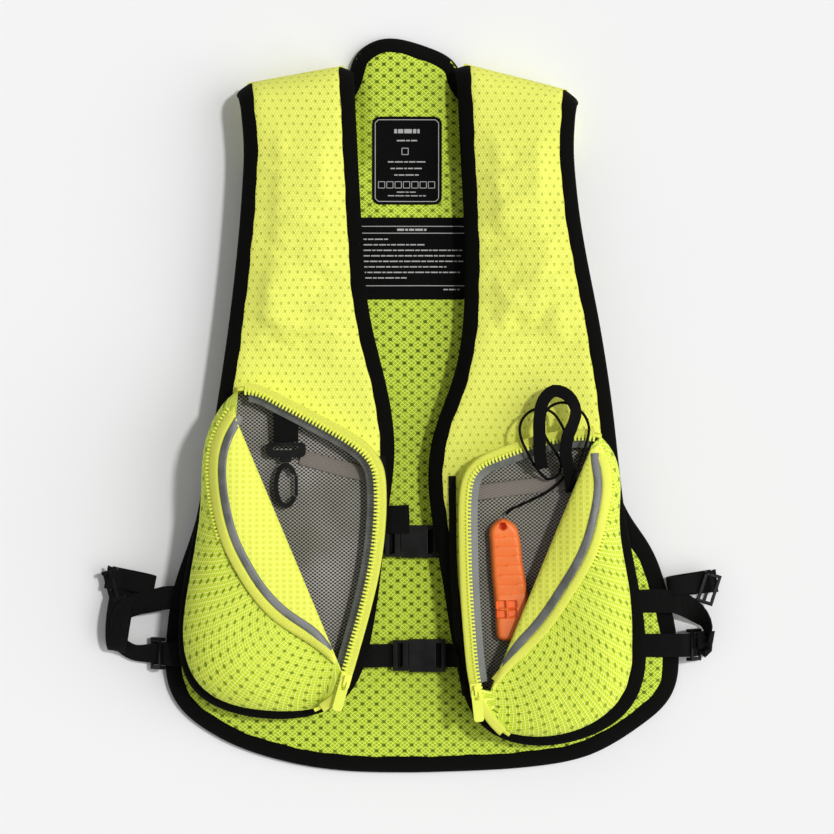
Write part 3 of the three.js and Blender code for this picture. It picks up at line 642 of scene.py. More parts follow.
def blown(obj, loose, pressure=2.5, growth=0.035, cap=4 * MM, frames=20):
    """Cloth simulation of a padded cover: slack cloth over air pressure, kept still where loose is 0."""
    rest = np.array([v.co for v in obj.data.vertices])
    group = obj.vertex_groups.new(name="held")
    for i, share in enumerate(loose):
        group.add([i], float(1 - share), "REPLACE")
    cloth = obj.modifiers.new("blow", "CLOTH")
    settings = cloth.settings
    settings.quality = 5
    settings.mass = 0.2
    settings.tension_stiffness = settings.compression_stiffness = 20
    settings.shear_stiffness = 6
    settings.bending_stiffness = 0.6
    settings.vertex_group_mass = "held"
    settings.use_pressure = True
    settings.uniform_pressure_force = pressure
    settings.shrink_min = -growth
    settings.effector_weights.gravity = 0
    cloth.collision_settings.use_collision = False
    scene = bpy.context.scene
    for number in range(1, frames + 1):
        scene.frame_set(number)
    made = obj.evaluated_get(bpy.context.evaluated_depsgraph_get())
    now = np.array([v.co for v in made.data.vertices])
    obj.modifiers.remove(cloth)
    obj.vertex_groups.remove(group)
    scene.frame_set(1)
    shift = now - rest
    size = np.linalg.norm(shift, axis=1)
    shift *= (cap * np.tanh(size / cap) / np.maximum(size, 1e-9))[:, None]
    rest += shift * np.asarray(loose)[:, None]
    obj.data.vertices.foreach_set("co", rest.astype(np.float32).ravel())
    obj.data.update()


def on_top(obj):
    """A function that gives the height of an object's top at a point, or at its nearest spot beside it."""
    mesh = obj.data
    tree = BVHTree.FromPolygons([v.co[:] for v in mesh.vertices], [p.vertices[:] for p in mesh.polygons])

    def height(point):
        x, y = point[:2]
        hit = tree.ray_cast(Vector((x, y, 1)), Vector((0, 0, -1)))[0]
        return tree.find_nearest(Vector((x, y, FRONT_TOP + 15 * MM)))[0].z if hit is None else hit.z

    return height


def tape(name, line, width, surface, material, body, thickness, lift=0.1 * MM):
    """A flat tape laid along a line on a surface."""
    line = resample(fair(resample(line, 4 * MM), 5), 3.0 * MM)
    n = side_of(line)
    rings = []
    for p, w in zip(line, n):
        across = [p + w * (width * k) for k in (-0.5, -0.42, -0.15, 0.15, 0.42, 0.5)]
        z = [surface(q) for q in across]
        full = [0.5, 1, 1, 1, 1, 0.5]
        top = [(*q, h + lift + thickness * k) for q, h, k in zip(across, z, full)]
        low = [(*q, h + lift - 0.2 * MM) for q, h in zip(across[::-1], z[::-1])]
        rings.append(np.array(top + low))
    return loft(name, rings, material, body)


# ---- Front panels: padded cloth from the shoulder's edge to the hem.
def front_outline(name, side):
    """The edge that is bound, from the armhole side round to the neck side, and the panel's whole loop."""
    loop = loop_of(name + "_front_shell")
    s = side["sign"]
    outer = np.argmax(loop @ np.array((s * 0.5, 1.0)))
    inner = np.argmax(loop @ np.array((-s * 1.0, 1.0)))
    line = np.roll(loop, -outer, axis=0)
    other = (inner - outer) % len(loop)
    if other < len(loop) / 2:
        line = np.vstack([line[:1], line[:0:-1]])
        other = len(loop) - other
    line = line[: other + 1]
    line = moved(resample(line, 5 * MM), -EDGE_GROWTH * (1 if s < 0 else -1))
    if (line[0] - loop[outer]) @ (line[0] - loop[outer]) > (8 * MM) ** 2:
        raise ValueError(name + ": the panel's edge runs the wrong way")
    turn = TURN_RADIUS * (math.pi / 2 - 1)
    outer_end = side["outer_top"] + np.array((s * 2 * MM, turn))
    inner_end = side["inner_top"] + np.array((-s * 2 * MM, turn))
    line = np.vstack([[outer_end, (outer_end + line[0]) / 2], line, [(line[-1] + inner_end) / 2, inner_end]])
    line = fair(resample(line, 5 * MM), 10)
    across = resample(np.array([line[-1], line[0]]), 5 * MM)[1:-1]
    tucked = moved(line, EDGE_TUCK * (1 if s < 0 else -1))
    loop = np.vstack([tucked, across])
    if s > 0:
        loop = loop[::-1]
    return line, loop


YOKE_SEAM = 0.243  # y of the seam across each chest
SHOULDER_CUT = 0.196  # y where the lower shoulder meets the back panel


def chest_crown(points):
    """Extra fullness of the panel above its pocket."""
    return smoothstep(points[:, 1], 0.02, 0.07) * smoothstep(-points[:, 1], -0.25, -0.19)


def front_panel(name, side):
    line, loop = front_outline(name, side)
    points, faces = filled(loop, 4.6 * MM)
    away = distance_to(points, line)
    half = (FRONT_TOP - FRONT_LOW) / 2
    low, high = crowned(away, FRONT_MIDDLE, half, FRONT_MIDDLE - 1 * MM, EDGE_HALF)
    calm = smoothstep(away, 8 * MM, 30 * MM)
    full = chest_crown(points) * calm
    seed = 3.1 if side["sign"] < 0 else 7.7
    lean = points @ np.array([[1.0, -0.25 * side["sign"]], [0.25 * side["sign"], 1.0]])
    folds = ripple(lean, 60 * MM, seed, (0.7, 1.3)) * 4.2 + ripple(lean, 22 * MM, seed + 5, (0.5, 1.6)) * 1.3
    creases = np.abs(ripple(lean, 44 * MM, seed + 9, (0.6, 1.9)))
    slack = smoothstep(-points[:, 1], -0.2, -0.05)
    high = high + full * (4.5 * MM + (folds - creases * 6.0) * (0.55 + 0.8 * slack) * MM)
    gathers = 1 - np.abs(ripple(lean, 30 * MM, seed + 4, (0.45, 2.1)))
    above = smoothstep(points[:, 1], -0.02, 0.03) * smoothstep(-points[:, 1], -0.12, -0.05)
    high = high + full * above * (gathers**3 * 2.6 - 1.0) * MM
    high = high + calm * (1 - full) * ripple(points, 30 * MM, seed + 2) * 0.25 * MM
    yoke = np.exp(-(((points[:, 1] - YOKE_SEAM) / (2.4 * MM)) ** 2))
    high = high - yoke * 1.3 * MM
    verts, faces = closed(points, faces, low, high)
    flat = verts[:, :2].copy()
    verts = over_shoulder(verts, side)
    made = piece(name + "_front_cloth", verts, faces, CHEST, None, flat)
    loose = np.concatenate([full * smoothstep(away, 10 * MM, 30 * MM), np.zeros(len(full))])
    loose *= smoothstep(-verts[:, 1], -0.25, -0.2)
    blown(made, loose)
    layers = [f"{name}_front_{part}" for part in ("lining", "foam", "shell")]
    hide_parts(*layers, name + "_shoulder_pad")
    s = side["sign"]
    bend = ("root", side["body"], (s * 0.09, 0.272, FRONT_MIDDLE), (s * 0.09, 0.13, FRONT_MIDDLE))
    side["panel_top"] = on_top(made)
    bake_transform(made)

    def heights(e):
        return crowned(e, FRONT_MIDDLE, half, FRONT_MIDDLE - 1 * MM, EDGE_HALF)

    binding(
        name + "_front_edge", line, heights, side["body"], [name + "_front_binding"],
        shape=lambda v: over_shoulder(v, side), sign=-1 if s > 0 else 1, blend=bend,
    )


def shoulder_back(name, side):
    """The lower half of the shoulder: from the back panel's cut up to the shoulder's edge."""
    line, _ = front_outline(name, side)
    s = side["sign"]
    outer = np.array([p for p in line[: len(line) // 2] if p[1] > SHOULDER_CUT])
    inner = np.array([p for p in line[len(line) // 2 :] if p[1] > SHOULDER_CUT])
    outer[:, 0] -= s * 7 * MM
    inner[:, 0] += s * 6 * MM
    across = resample(np.array([inner[-1], outer[0]]), 5 * MM)[1:-1]
    base = resample(np.array([outer[-1], inner[0]]), 5 * MM)[1:-1]
    loop = np.vstack([outer, base, inner, across])
    if s > 0:
        loop = loop[::-1]
    points, faces = filled(loop, 5 * MM)
    low, high = crowned(np.full(len(points), 1.0), FRONT_MIDDLE, (FRONT_TOP - FRONT_LOW) / 2, 0, 0)
    verts, faces = closed(points, faces, low + 0.4 * MM, high)
    flat = verts[:, :2].copy()
    verts[:, 2] = 2 * TURN_LEVEL - verts[:, 2]
    verts = over_shoulder(verts, side, lower=True)
    made = piece(name + "_shoulder_cloth", verts, outward(verts, faces), CHEST, "root", flat)
    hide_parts(name + "_shoulder_pad")


# ---- Back panel: padded cloth with its hem and neck bound.
BACK_EDGE_MIDDLE = 5.2 * MM
ARMHOLE_TOP = 0.215  # y above which the back's outline belongs to the shoulder
ARCH_FOOT = 0.262  # y where the neck's binding goes under the fronts


def back_panel():
    loop = loop_of("back_inner_mesh")
    loop = resample(ringed(loop), 5 * MM)[:-1]
    start, end = (
        np.argmax(loop @ np.array((way, 1.0)) - 10 * (loop[:, 1] > ARMHOLE_TOP)) for way in (-0.55, 0.55)
    )
    grown = loop - loop_side(loop) * EDGE_GROWTH
    rolled = np.roll(grown, -start, axis=0)
    hem = rolled[: (end - start) % len(grown) + 1]
    if hem[:, 1].min() > -0.2:
        rolled = np.roll(grown, -end, axis=0)
        hem = rolled[: (start - end) % len(grown) + 1]
    hem = fair(hem, 6)
    rest = rolled[len(hem):]
    first = np.argmax(rest @ np.array((2.0, 1.2)))
    last = np.argmax(rest @ np.array((-2.0, 1.2)))
    neck = fair(rest[first : last + 1], 4)
    inner = moved(neck, EDGE_TUCK)
    loop = np.vstack([moved(hem, EDGE_TUCK), rest[:first], inner, rest[last + 1 :]])
    points, faces = filled(loop, 5 * MM)
    away = np.minimum(distance_to(points, hem), distance_to(points, neck))
    middle = BACK_TOP / 2
    low, high = crowned(away, middle, middle, BACK_EDGE_MIDDLE, EDGE_HALF, 20 * MM)
    calm = smoothstep(away, 9 * MM, 32 * MM)
    covered = smoothstep(np.abs(points[:, 0]), 0.05, 0.09)
    waves = ripple(points, 55 * MM, 1.3, (0.6, 1.4)) * 2.2 + ripple(points, 26 * MM, 4.4) * 0.9
    creases = np.abs(ripple(points, 48 * MM, 8.8, (0.7, 1.5)))
    high = high + calm * (waves - creases * 2.0 + 0.8) * MM * (1 - 0.5 * covered)
    low = np.maximum(low, 0.3 * MM)
    verts, faces = closed(points, faces, low, high)
    made = piece("back_cloth", verts, faces, BODY, "root")
    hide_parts("back_outer_shell", "back_foam", "back_inner_mesh")

    def heights(e):
        return crowned(e, middle, middle, BACK_EDGE_MIDDLE, EDGE_HALF, 20 * MM)

    binding("back_edge", hem, heights, "root", ["back_binding"], width=12.5 * MM)
    arch = neck[neck[:, 1] > ARCH_FOOT]
    first, last = (
        [p + np.array((math.copysign(w, p[0]), -h)) * MM for w, h in ((9, 9), (20, 14))]
        for p in (arch[0], arch[-1])
    )
    arch = np.vstack([first[::-1], arch, last])
    binding("neck_edge", arch, heights, "root", ["neck_binding"], width=11 * MM)
    return on_top(made)


# ---- Labels: black satin with a thin border and bars of print. A row is its height in the label, its start
# and end across it, all as shares, its line's thickness in mm, and its kind.
CARE_ROWS = [
    (0.86, 0.3, 0.7, 3.4, "words"), (0.745, 0.34, 0.66, 1.1, "words"), (0.575, 0.42, 0.58, 0.6, "boxes"),
    (0.485, 0.2, 0.8, 1.0, "words"), (0.405, 0.24, 0.76, 1.0, "words"), (0.325, 0.3, 0.7, 1.0, "words"),
    (0.165, 0.05, 0.98, 0.5, "boxes"), (0.115, 0.34, 0.66, 0.8, "words"), (0.07, 0.2, 0.8, 0.8, "words"),
]
WARNING_ROWS = [
    (0.925, 0, 1, 0.6, "line"), (0.835, 0, 1, 0.6, "line"), (0.88, 0.36, 0.64, 1.7, "words"),
    (0.14, 0.03, 1, 0.6, "line"), (0.09, 0.8, 0.97, 1.0, "words"),
]
WARNING_ENDS = (0.3, 0.62, 0.98, 0.97, 0.99, 0.83, 0.96, 0.45)
WARNING_ROWS += [(0.755 - 0.073 * i, 0.04, end, 1.0, "words") for i, end in enumerate(WARNING_ENDS)]
INSET = 2.6 * MM


def label(name, node, surface, rows, framed):
    low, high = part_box(node)
    points, faces, away = plate(node, 4 * MM, 6 * MM)
    height = np.array([surface(p) for p in points])
    lift = 0.5 * MM + 0.25 * MM * smoothstep(away, 0, 4 * MM)
    verts, faces = closed(points, faces, height - 0.1 * MM, height + lift)
    made = piece(name, verts, faces, LABEL, "root")
    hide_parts(node)
    top = on_top(made)

    verts, faces = [], []
    left, right = low.x + INSET, high.x - INSET
    foot, head = low.y + INSET, high.y - INSET
    step = 4 * MM

    def strip(p, q, thick):
        """A thin printed line from p to q that follows the label."""
        count = max(1, int(math.hypot(q[0] - p[0], q[1] - p[1]) / step))
        way = np.subtract(q, p) / math.hypot(q[0] - p[0], q[1] - p[1])
        n = np.array((-way[1], way[0])) * thick / 2
        first = len(verts)
        for i in range(count + 1):
            c = np.asarray(p) + (np.subtract(q, p)) * i / count
            z = top(c)
            for corner in (c - n, c + n):
                verts.append((*corner, z + 0.14 * MM))
            for corner in (c + n, c - n):
                verts.append((*corner, z - 0.2 * MM))
        for i in range(count):
            a = first + 4 * i
            faces.extend([(a + k, a + 4 + k, a + 4 + (k + 1) % 4, a + (k + 1) % 4) for k in range(4)])
        faces.append((first, first + 1, first + 2, first + 3))
        last = first + 4 * count
        faces.append((last + 3, last + 2, last + 1, last))

    if framed:
        cut = 2.5 * MM
        corners = [
            (left + cut, foot), (right - cut, foot), (right, foot + cut), (right, head - cut),
            (right - cut, head), (left + cut, head), (left, head - cut), (left, foot + cut),
        ]
        for p, q in zip(corners, corners[1:] + corners[:1]):
            strip(p, q, 0.6 * MM)
    for place, (y, x0, x1, thick, kind) in enumerate(rows):
        a, b = left + (right - left) * x0, left + (right - left) * x1
        yy = foot + (head - foot) * y
        if kind == "line":
            strip((a, yy), (b, yy), thick * MM)
        elif kind == "boxes":
            wide, gap = 5.2 * MM, 1.6 * MM
            while a + wide <= b + 0.1 * MM:
                square = [(a, yy), (a + wide, yy), (a + wide, yy + wide), (a, yy + wide)]
                for p, q in zip(square, square[1:] + square[:1]):
                    strip(p, q, thick * MM)
                a += wide + gap
        else:
            turn = place * 5
            while a < b - 1.5 * MM:
                word = (2.2 + (turn * 37 % 11) * 0.5) * MM
                strip((a, yy), (min(a + word, b), yy), thick * MM)
                a += word + 0.9 * MM
                turn += 1
    piece(name + "_print", verts, outward(verts, faces), PRINT, "root", sharp=20)


# ---- Pockets.
POCKET_GROWTH = 2.7 * MM
STATIONS = 61
DOME_ROWS = 16
FLAP_ROWS = 12
BULGE = 16 * MM
DOME_SKIN = 2.2 * MM
DOME_DRAPE = 0.2  # how far the dome's pattern follows its steep lower wall
FREE_TEETH = 0.46  # the share of the flap's edge that shows its teeth
# How far the folded flap covers the dome, as shares of it, from the top end down.
FLAP_REACH = {
    "left": [0.6, 0.86, 0.86, 0.7, 0.5, 0.37, 0.27, 0.17, 0.08],
    "right": [0.6, 0.82, 0.72, 0.52, 0.36, 0.27, 0.2, 0.12, 0.06],
}
# The organiser's elastic: shares of its box from the zip's lower corner, outwards and up.
ELASTIC_SHARES = {
    "left": [(0.02, 0.895), (0.2, 0.925), (0.40, 0.965)],
    "right": [(0.0, 0.903), (0.3, 0.925), (0.52, 0.939), (0.84, 0.965)],
}


def pocket_lines(name, side):
    """The pocket's seam, its zip edge and its fold line, each from the top end down."""
    joint = JOINTS[name + "_flap_fold"]
    start = np.array(joint["pos_m"][:2])
    way = np.array(joint["axis"][:2])
    way = way / np.linalg.norm(way) * (-1 if way[1] > 0 else 1)
    loop = loop_of(name + "_pocket_lining")
    loop = resample(ringed(loop), 4 * MM)[:-1]
    loop = loop - loop_side(loop) * POCKET_GROWTH
    out = np.array((way[1], -way[0])) * (-side["sign"])
    if out[0] * side["sign"] < 0:
        out = -out
    share = (loop - start) @ way
    head, foot = np.argmin(share), np.argmax(share)
    a = np.roll(loop, -head, axis=0)
    b = a[: (foot - head) % len(loop) + 1]
    c = np.vstack([a[(foot - head) % len(loop):], a[:1]])[::-1]
    seam, zip_edge = (b, c) if ((b - start) @ out).mean() > ((c - start) @ out).mean() else (c, b)
    long = ((loop[foot] - start) @ way) - 27 * MM
    fold = np.array([start, start + way * long])
    return fair(seam, 5), fair(zip_edge, 5), fold


def dome_height(c, s, low, rise):
    return low + np.sqrt(np.clip(1 - c * c, 0, 1)) * (rise + 2 * BULGE * np.sin(math.pi * s) * c)


def zip_teeth(name, line, surface, shown, long, body):
    """The zip's half teeth along a line, from the third to the last one shown."""
    ways = side_of(line)[2:shown]
    places = [((*p, surface(p)), (*way, 0), (0, 0, 1)) for p, way in zip(line[2:shown], ways)]
    bricks(name, places, (long * MM, 1.7 * MM, 1.9 * MM), ZIP_PLASTIC, body)


def pocket(name, side):
    sign, body = side["sign"], side["body"]
    seam, zip_edge, fold = pocket_lines(name, side)
    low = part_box(name + "_pocket_shell")[0].z
    joint_level = JOINTS[name + "_flap_fold"]["pos_m"][2]
    rise = joint_level - 1.2 * MM - low
    seam_points = resample(seam, 0, STATIONS)
    crest = np.array([fold[0] + (fold[1] - fold[0]) * i / (STATIONS - 1) for i in range(STATIONS)])
    seed = 11.0 if sign < 0 else 17.0

    # The dome: a sheet from the seam up to the fold.
    zip_line = resample(zip_edge, 3 * MM)
    slider = sum(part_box(name + "_zip_slider"), Vector()) / 2
    stop = int(np.argmin(np.linalg.norm(zip_line - np.array(slider.xy), axis=1)))
    closing = resample(np.vstack([crest[-1:], zip_line[stop:-2]]), 2.5 * MM)[1:]
    rim = np.vstack([crest, closing])
    rings, flats = [], []
    for i in range(len(rim)):
        s = min(1, i / (STATIONS - 1))
        foot = seam_points[min(i, STATIONS - 1)]
        top, under = [], []
        for k in range(DOME_ROWS + 1):
            angle = k / DOME_ROWS * math.pi / 2
            c = math.cos(angle)
            p = rim[i] + (foot - rim[i]) * c
            z = dome_height(c, s, low, rise)
            calm = math.sin(min(1, k / 4) * math.pi / 2) * math.sin(math.pi * s)
            v = Vector((p[0] / 0.045, p[1] / 0.05, seed))
            z += calm * (noise.noise(v) * 2.6 - abs(noise.noise(v * 1.7)) * 2.4 + 0.6) * MM
            top.append((p[0], p[1], z))
            q = rim[i] + (foot - rim[i]) * c * 0.975
            under.append((q[0], q[1], z - DOME_SKIN))
        rings.append(np.array(top + under[::-1]))
        top = np.array(top)
        over = DOME_DRAPE * lengths(top) + (1 - DOME_DRAPE) * lengths(top[:, :2])
        way = (foot - rim[i]) / max(np.linalg.norm(foot - rim[i]), 1e-6)
        cloth = rim[i] + way * over[:, None]
        flats.append(np.vstack([cloth, cloth[::-1]]))
    dome = loft(name + "_pocket_dome", rings, DOME, body, np.vstack(flats), sharp=70)
    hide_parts(name + "_pocket_shell")

    # The gusset under the zip: a soft wall that leans out to the panel, lined inside.
    gusset, flats, mouth = [], [], low + rise
    middle = zip_line[len(zip_line) // 2]
    out = side_of(zip_line)
    if (middle - fold.mean(0)) @ out[len(zip_line) // 2] < 0:
        out = -out
    for p, n, t in zip(zip_line, out, np.linspace(0, 1, len(zip_line))):
        lean = 4.6 * MM * math.sin(math.pi * min(max(t, 0.03), 0.97)) ** 0.4
        ring = []
        for steps, skin, share in ((range(7), 0.5, 1), (range(6, -1, -1), -1.3, 0.7)):
            for k in steps:
                a = k / 6 * math.pi / 2
                q = p + n * (skin * MM + lean * math.sin(a) ** 0.8 * share)
                ring.append((q[0], q[1], mouth - 1.6 * MM - (mouth - low - 2 * MM) * (1 - math.cos(a))))
        gusset.append(np.array(ring))
        over = lengths(np.array(ring[:7]))
        along = np.full(len(ring), t * lengths(zip_line)[-1])
        flats.append(np.column_stack([along, np.concatenate([over, over[::-1]])]))
    wall = loft(name + "_pocket_gusset", gusset, FACING, body, np.vstack(flats))
    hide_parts(name + "_pocket_shell")

    # Zip tape and its teeth along the body side, with reflective tape leaning in below them.
    inward = -out
    band = (zip_line + out * 1.0 * MM)[2:-2]
    zipper = tape(
        name + "_zip_band", band, 7.5 * MM, lambda q: mouth - 1.4 * MM, ZIP_TAPE, body, 1.4 * MM
    )
    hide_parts(name + "_zip_tape")
    teeth = resample(zip_line + inward * 3.0 * MM, 3.0 * MM)
    zip_teeth(name + "_zip_teeth", teeth, lambda p: mouth + 0.7 * MM, stop + 1, 4.2, body)
    rings = []
    for p, w in zip(zip_line[3:stop], inward[3:stop]):
        ring = [(1.6, -3.0), (5.4, -4.6), (10.6, -6.6), (10.7, -7.4), (5.4, -5.6), (1.6, -4.0)]
        rings.append(np.array([(*(p + w * e * MM), mouth + z * MM) for e, z in ring]))
    loft(name + "_mouth_tape", rings, TAPE, body)

    # The flap: the folded corner, facing side up, with its tape and its half of the zip.
    reach = np.interp(np.linspace(0, 1, STATIONS), np.linspace(0, 1, len(FLAP_REACH[name])), FLAP_REACH[name])
    reach = fair(reach[:, None], 12)[:, 0]
    clearance = joint_level - (low + rise) + 0.6 * MM
    rings, edge = [], []
    for i in range(1, STATIONS - 1):
        s = i / (STATIONS - 1)
        top, under = [], []
        for k in range(FLAP_ROWS + 1):
            share = k / FLAP_ROWS
            c = share * reach[i]
            p = crest[i] + (seam_points[i] - crest[i]) * c
            z = dome_height(c, s, low, rise) + clearance
            v = Vector((p[0] / 0.04, p[1] / 0.055, seed + 3))
            puff = math.sin(math.pi * share) ** 0.8 * math.sin(math.pi * s) ** 0.5
            z += puff * (2.2 + noise.noise(v) * 1.6 - abs(noise.noise(v * 1.9)) * 1.2) * MM
            top.append((p[0], p[1], z + 1.9 * MM * (1 if 0 < k < FLAP_ROWS else 0.6)))
            under.append((p[0], p[1], z - (0.0 if 0 < k else 0.4 * MM)))
        edge.append(top[-1][:2])
        rings.append(np.array(top + under[::-1]))
    flap = loft(name + "_flap_facing", rings, FACING, side["flap"], sharp=70)
    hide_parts(name + "_flap")
    flap_top = on_top(flap)
    edge = fair(np.array(edge), 6)
    toward = side_of(edge)
    centre = np.array([r[:, :2].mean(0) for r in rings]).mean(0)
    if (centre - edge[len(edge) // 2]) @ toward[len(edge) // 2] < 0:
        toward = -toward
    band = edge + toward * 3.4 * MM
    tape(name + "_flap_zip_band", band[2:-2], 7.0 * MM, flap_top, ZIP_TAPE, side["flap"], 0.9 * MM)
    local = np.linalg.norm(edge - crest[1:-1], axis=1)
    gleam = edge + toward * np.minimum(10.8 * MM, local * 0.62)[:, None]
    keep = [i for i in range(1, len(gleam) - 1) if local[i] > 8 * MM]
    gleam = gleam[keep]
    tape(name + "_flap_gleam", gleam, 6.6 * MM, flap_top, TAPE, side["flap"], 0.8 * MM)
    teeth = resample(edge - toward * 1.0 * MM, 3.0 * MM)
    free = int(len(teeth) * FREE_TEETH)
    zip_teeth(name + "_flap_teeth", teeth, lambda p: flap_top(p) + 0.4 * MM, free, 4.0, side["flap"])

    # Lining on the pocket's floor and the elastic-topped organiser.
    floor_low, floor_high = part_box(name + "_pocket_lining")
    points, faces, _ = plate(name + "_pocket_lining", 5 * MM, 7 * MM)
    bumps = ripple(points, 30 * MM, seed + 6) * 0.25 * MM
    verts, faces = closed(points, faces, np.full(len(points), floor_low.z), floor_high.z + bumps)
    lining = piece(name + "_pocket_net", verts, faces, NET, body)
    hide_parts(name + "_pocket_lining")
    points, faces, away = plate(name + "_organiser", 5 * MM, 5 * MM)
    level_low, level_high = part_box(name + "_organiser")
    sag = smoothstep(away, 0, 20 * MM) * (1.2 + ripple(points, 34 * MM, seed + 8, (1.5, 0.6)) * 1.3) * MM
    verts, faces = closed(points, faces, np.full(len(points), level_low.z), level_high.z + np.maximum(sag, 0))
    inner = piece(name + "_organiser_net", verts, faces, NET, body)
    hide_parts(name + "_organiser")
    inner_top = on_top(inner)
    corner = np.array((level_low if sign > 0 else Vector((level_high.x, level_low.y, 0))).xy)
    size = np.array((level_high - level_low).xy) * (sign, 1)
    head = np.array([corner + size * share for share in ELASTIC_SHARES[name]])
    tape(name + "_organiser_elastic", head, 12.5 * MM, inner_top, ELASTIC, body, 1.3 * MM)


# ---- Hard pieces stay as the CAD has them, with softened edges.
def carried(node, material):
    obj = frame["nodes"][node]
    obj.data.materials.clear()
    obj.data.materials.append(material)
    weld = obj.modifiers.new("weld", "WELD")
    weld.merge_threshold = 0.005 * MM
    soft = obj.modifiers.new("soft_edges", "BEVEL")
    soft.width, soft.segments = 0.35 * MM, 2
    soft.limit_method, soft.angle_limit = "ANGLE", math.radians(35)
    soft.harden_normals = False


def strap(node, material=WEBBING, body="root", bevel=0.5 * MM, ruffle=0.2 * MM):
    """Webbing in place of the CAD's plain strip: welded, cut fine, rounded and slightly uneven."""
    source = frame["nodes"][node]
    bm = bmesh.new()
    bm.from_mesh(source.data)
    bmesh.ops.remove_doubles(bm, verts=bm.verts, dist=5e-6)
    bmesh.ops.dissolve_limit(bm, angle_limit=math.radians(1), verts=bm.verts, edges=bm.edges)
    rims = [e for e in bm.edges if len(e.link_faces) == 2 and e.calc_face_angle(0) > math.radians(40)]
    bmesh.ops.bevel(bm, geom=rims, offset=bevel, segments=2, affect="EDGES", profile=0.6, clamp_overlap=True)
    bmesh.ops.triangulate(bm, faces=bm.faces)
    long = [e for e in bm.edges if e.calc_length() > 5 * MM]
    bmesh.ops.subdivide_edges(bm, edges=long, cuts=2, use_grid_fill=True)
    bmesh.ops.triangulate(bm, faces=bm.faces)
    bm.normal_update()
    for v in bm.verts:
        v.co += v.normal * noise.noise(v.co / (9 * MM)) * ruffle
    verts = [v.co[:] for v in bm.verts]
    faces = [[v.index for v in f.verts] for f in bm.faces]
    bm.free()
    made = piece(node + "_web", verts, faces, material, body, sharp=45)
    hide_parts(node)


def tail(side):
    """The strap's spare end: out to the adjuster and folded back under itself."""
    s = SIDES[side]["sign"]
    verts = np.array([v.co for v in frame["nodes"][side + "_strap_tail"].data.vertices]) / MM
    near = verts[np.argsort(verts[:, 0] * s)[:4]].mean(0)
    far = verts[np.argsort(-verts[:, 0] * s)[:4]].mean(0)
    way = (far - near) / np.linalg.norm(far - near)
    wide = (-way[1] * s, way[0] * s, 0)
    stops = [
        (0.93, -2.2, 1), (0.88, -0.6, 1), (0.82, 1.9, 1), (0.74, -0.2, 1), (0.62, -1.2, 1), (0.45, 1.6, 1),
        (0.24, 3.6, 0.97), (0.08, 2.2, 0.86), (0.02, -1.4, 0.78), (0.08, -4.8, 0.86), (0.3, -6.8, 1),
        (0.62, -6.4, 1), (0.85, -5, 1),
    ]
    line = []
    for share, drop, wider in stops:
        p = near + (far - near) * share
        line.append((p[0], p[1], p[2] + drop, *(c * wider for c in wide)))
    ribbon(side + "_tail_fold", line, "root", nodes=[side + "_strap_tail"])


def strap_return(side):
    """The upper strap's end, turning over as it comes back into the lower adjuster."""
    s = SIDES[side]["sign"]
    strap_low, strap_high = (np.array(c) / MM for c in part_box(side + "_upper_strap"))
    slot = np.array(sum(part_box(side + "_lower_adjuster"), Vector()) / 2) / MM
    x = (strap_high if s > 0 else strap_low)[0] - s * 5
    y = strap_low[1]
    mid = ((x + slot[0]) / 2 + s * 4, (y + slot[1]) / 2 - 5)
    ribbon(side + "_strap_return", [
        (x, y + 9, 11, s * 0.9, 0, -0.45), (x - s * 0.5, y - 1, 10.5, s * 0.75, -0.25, -0.6),
        (*mid, 10, s * 0.5, -0.6, -0.6), (slot[0] + s * 6, slot[1], 11.5, s * 0.1, -0.95, -0.3),
        (slot[0] - s * 4, slot[1] + 0.5, 13.5, 0, -1, 0),
    ], "root", 17 * MM)


def hanging_loop():
    """The left strap's long spare end, hanging in a loop from its adjuster."""
    low = np.array(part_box("left_upper_adjuster")[0]) / MM
    x, y = low[0] + 16, low[1] + 5
    ribbon("left_spare_loop", [
        (x + 2, y + 6, 13, 1, -0.2, 0), (x - 0.5, y - 6, 17, 0.95, -0.2, 0.2),
        (x - 2.5, y - 20, 20, 0.9, -0.25, 0.3), (x - 3.4, y - 33, 20, 0.9, -0.2, 0.3),
        (x - 3.6, y - 41, 16.5, 0.8, -0.15, 0.2), (x - 3.4, y - 44, 12, 0.75, -0.15, 0.1),
        (x - 3.2, y - 39, 8, 0.9, -0.2, 0), (x - 2, y - 24, 6.6, 1, -0.2, 0), (x, y - 6, 7.4, 1, -0.2, 0),
    ], "root", 19.5 * MM)


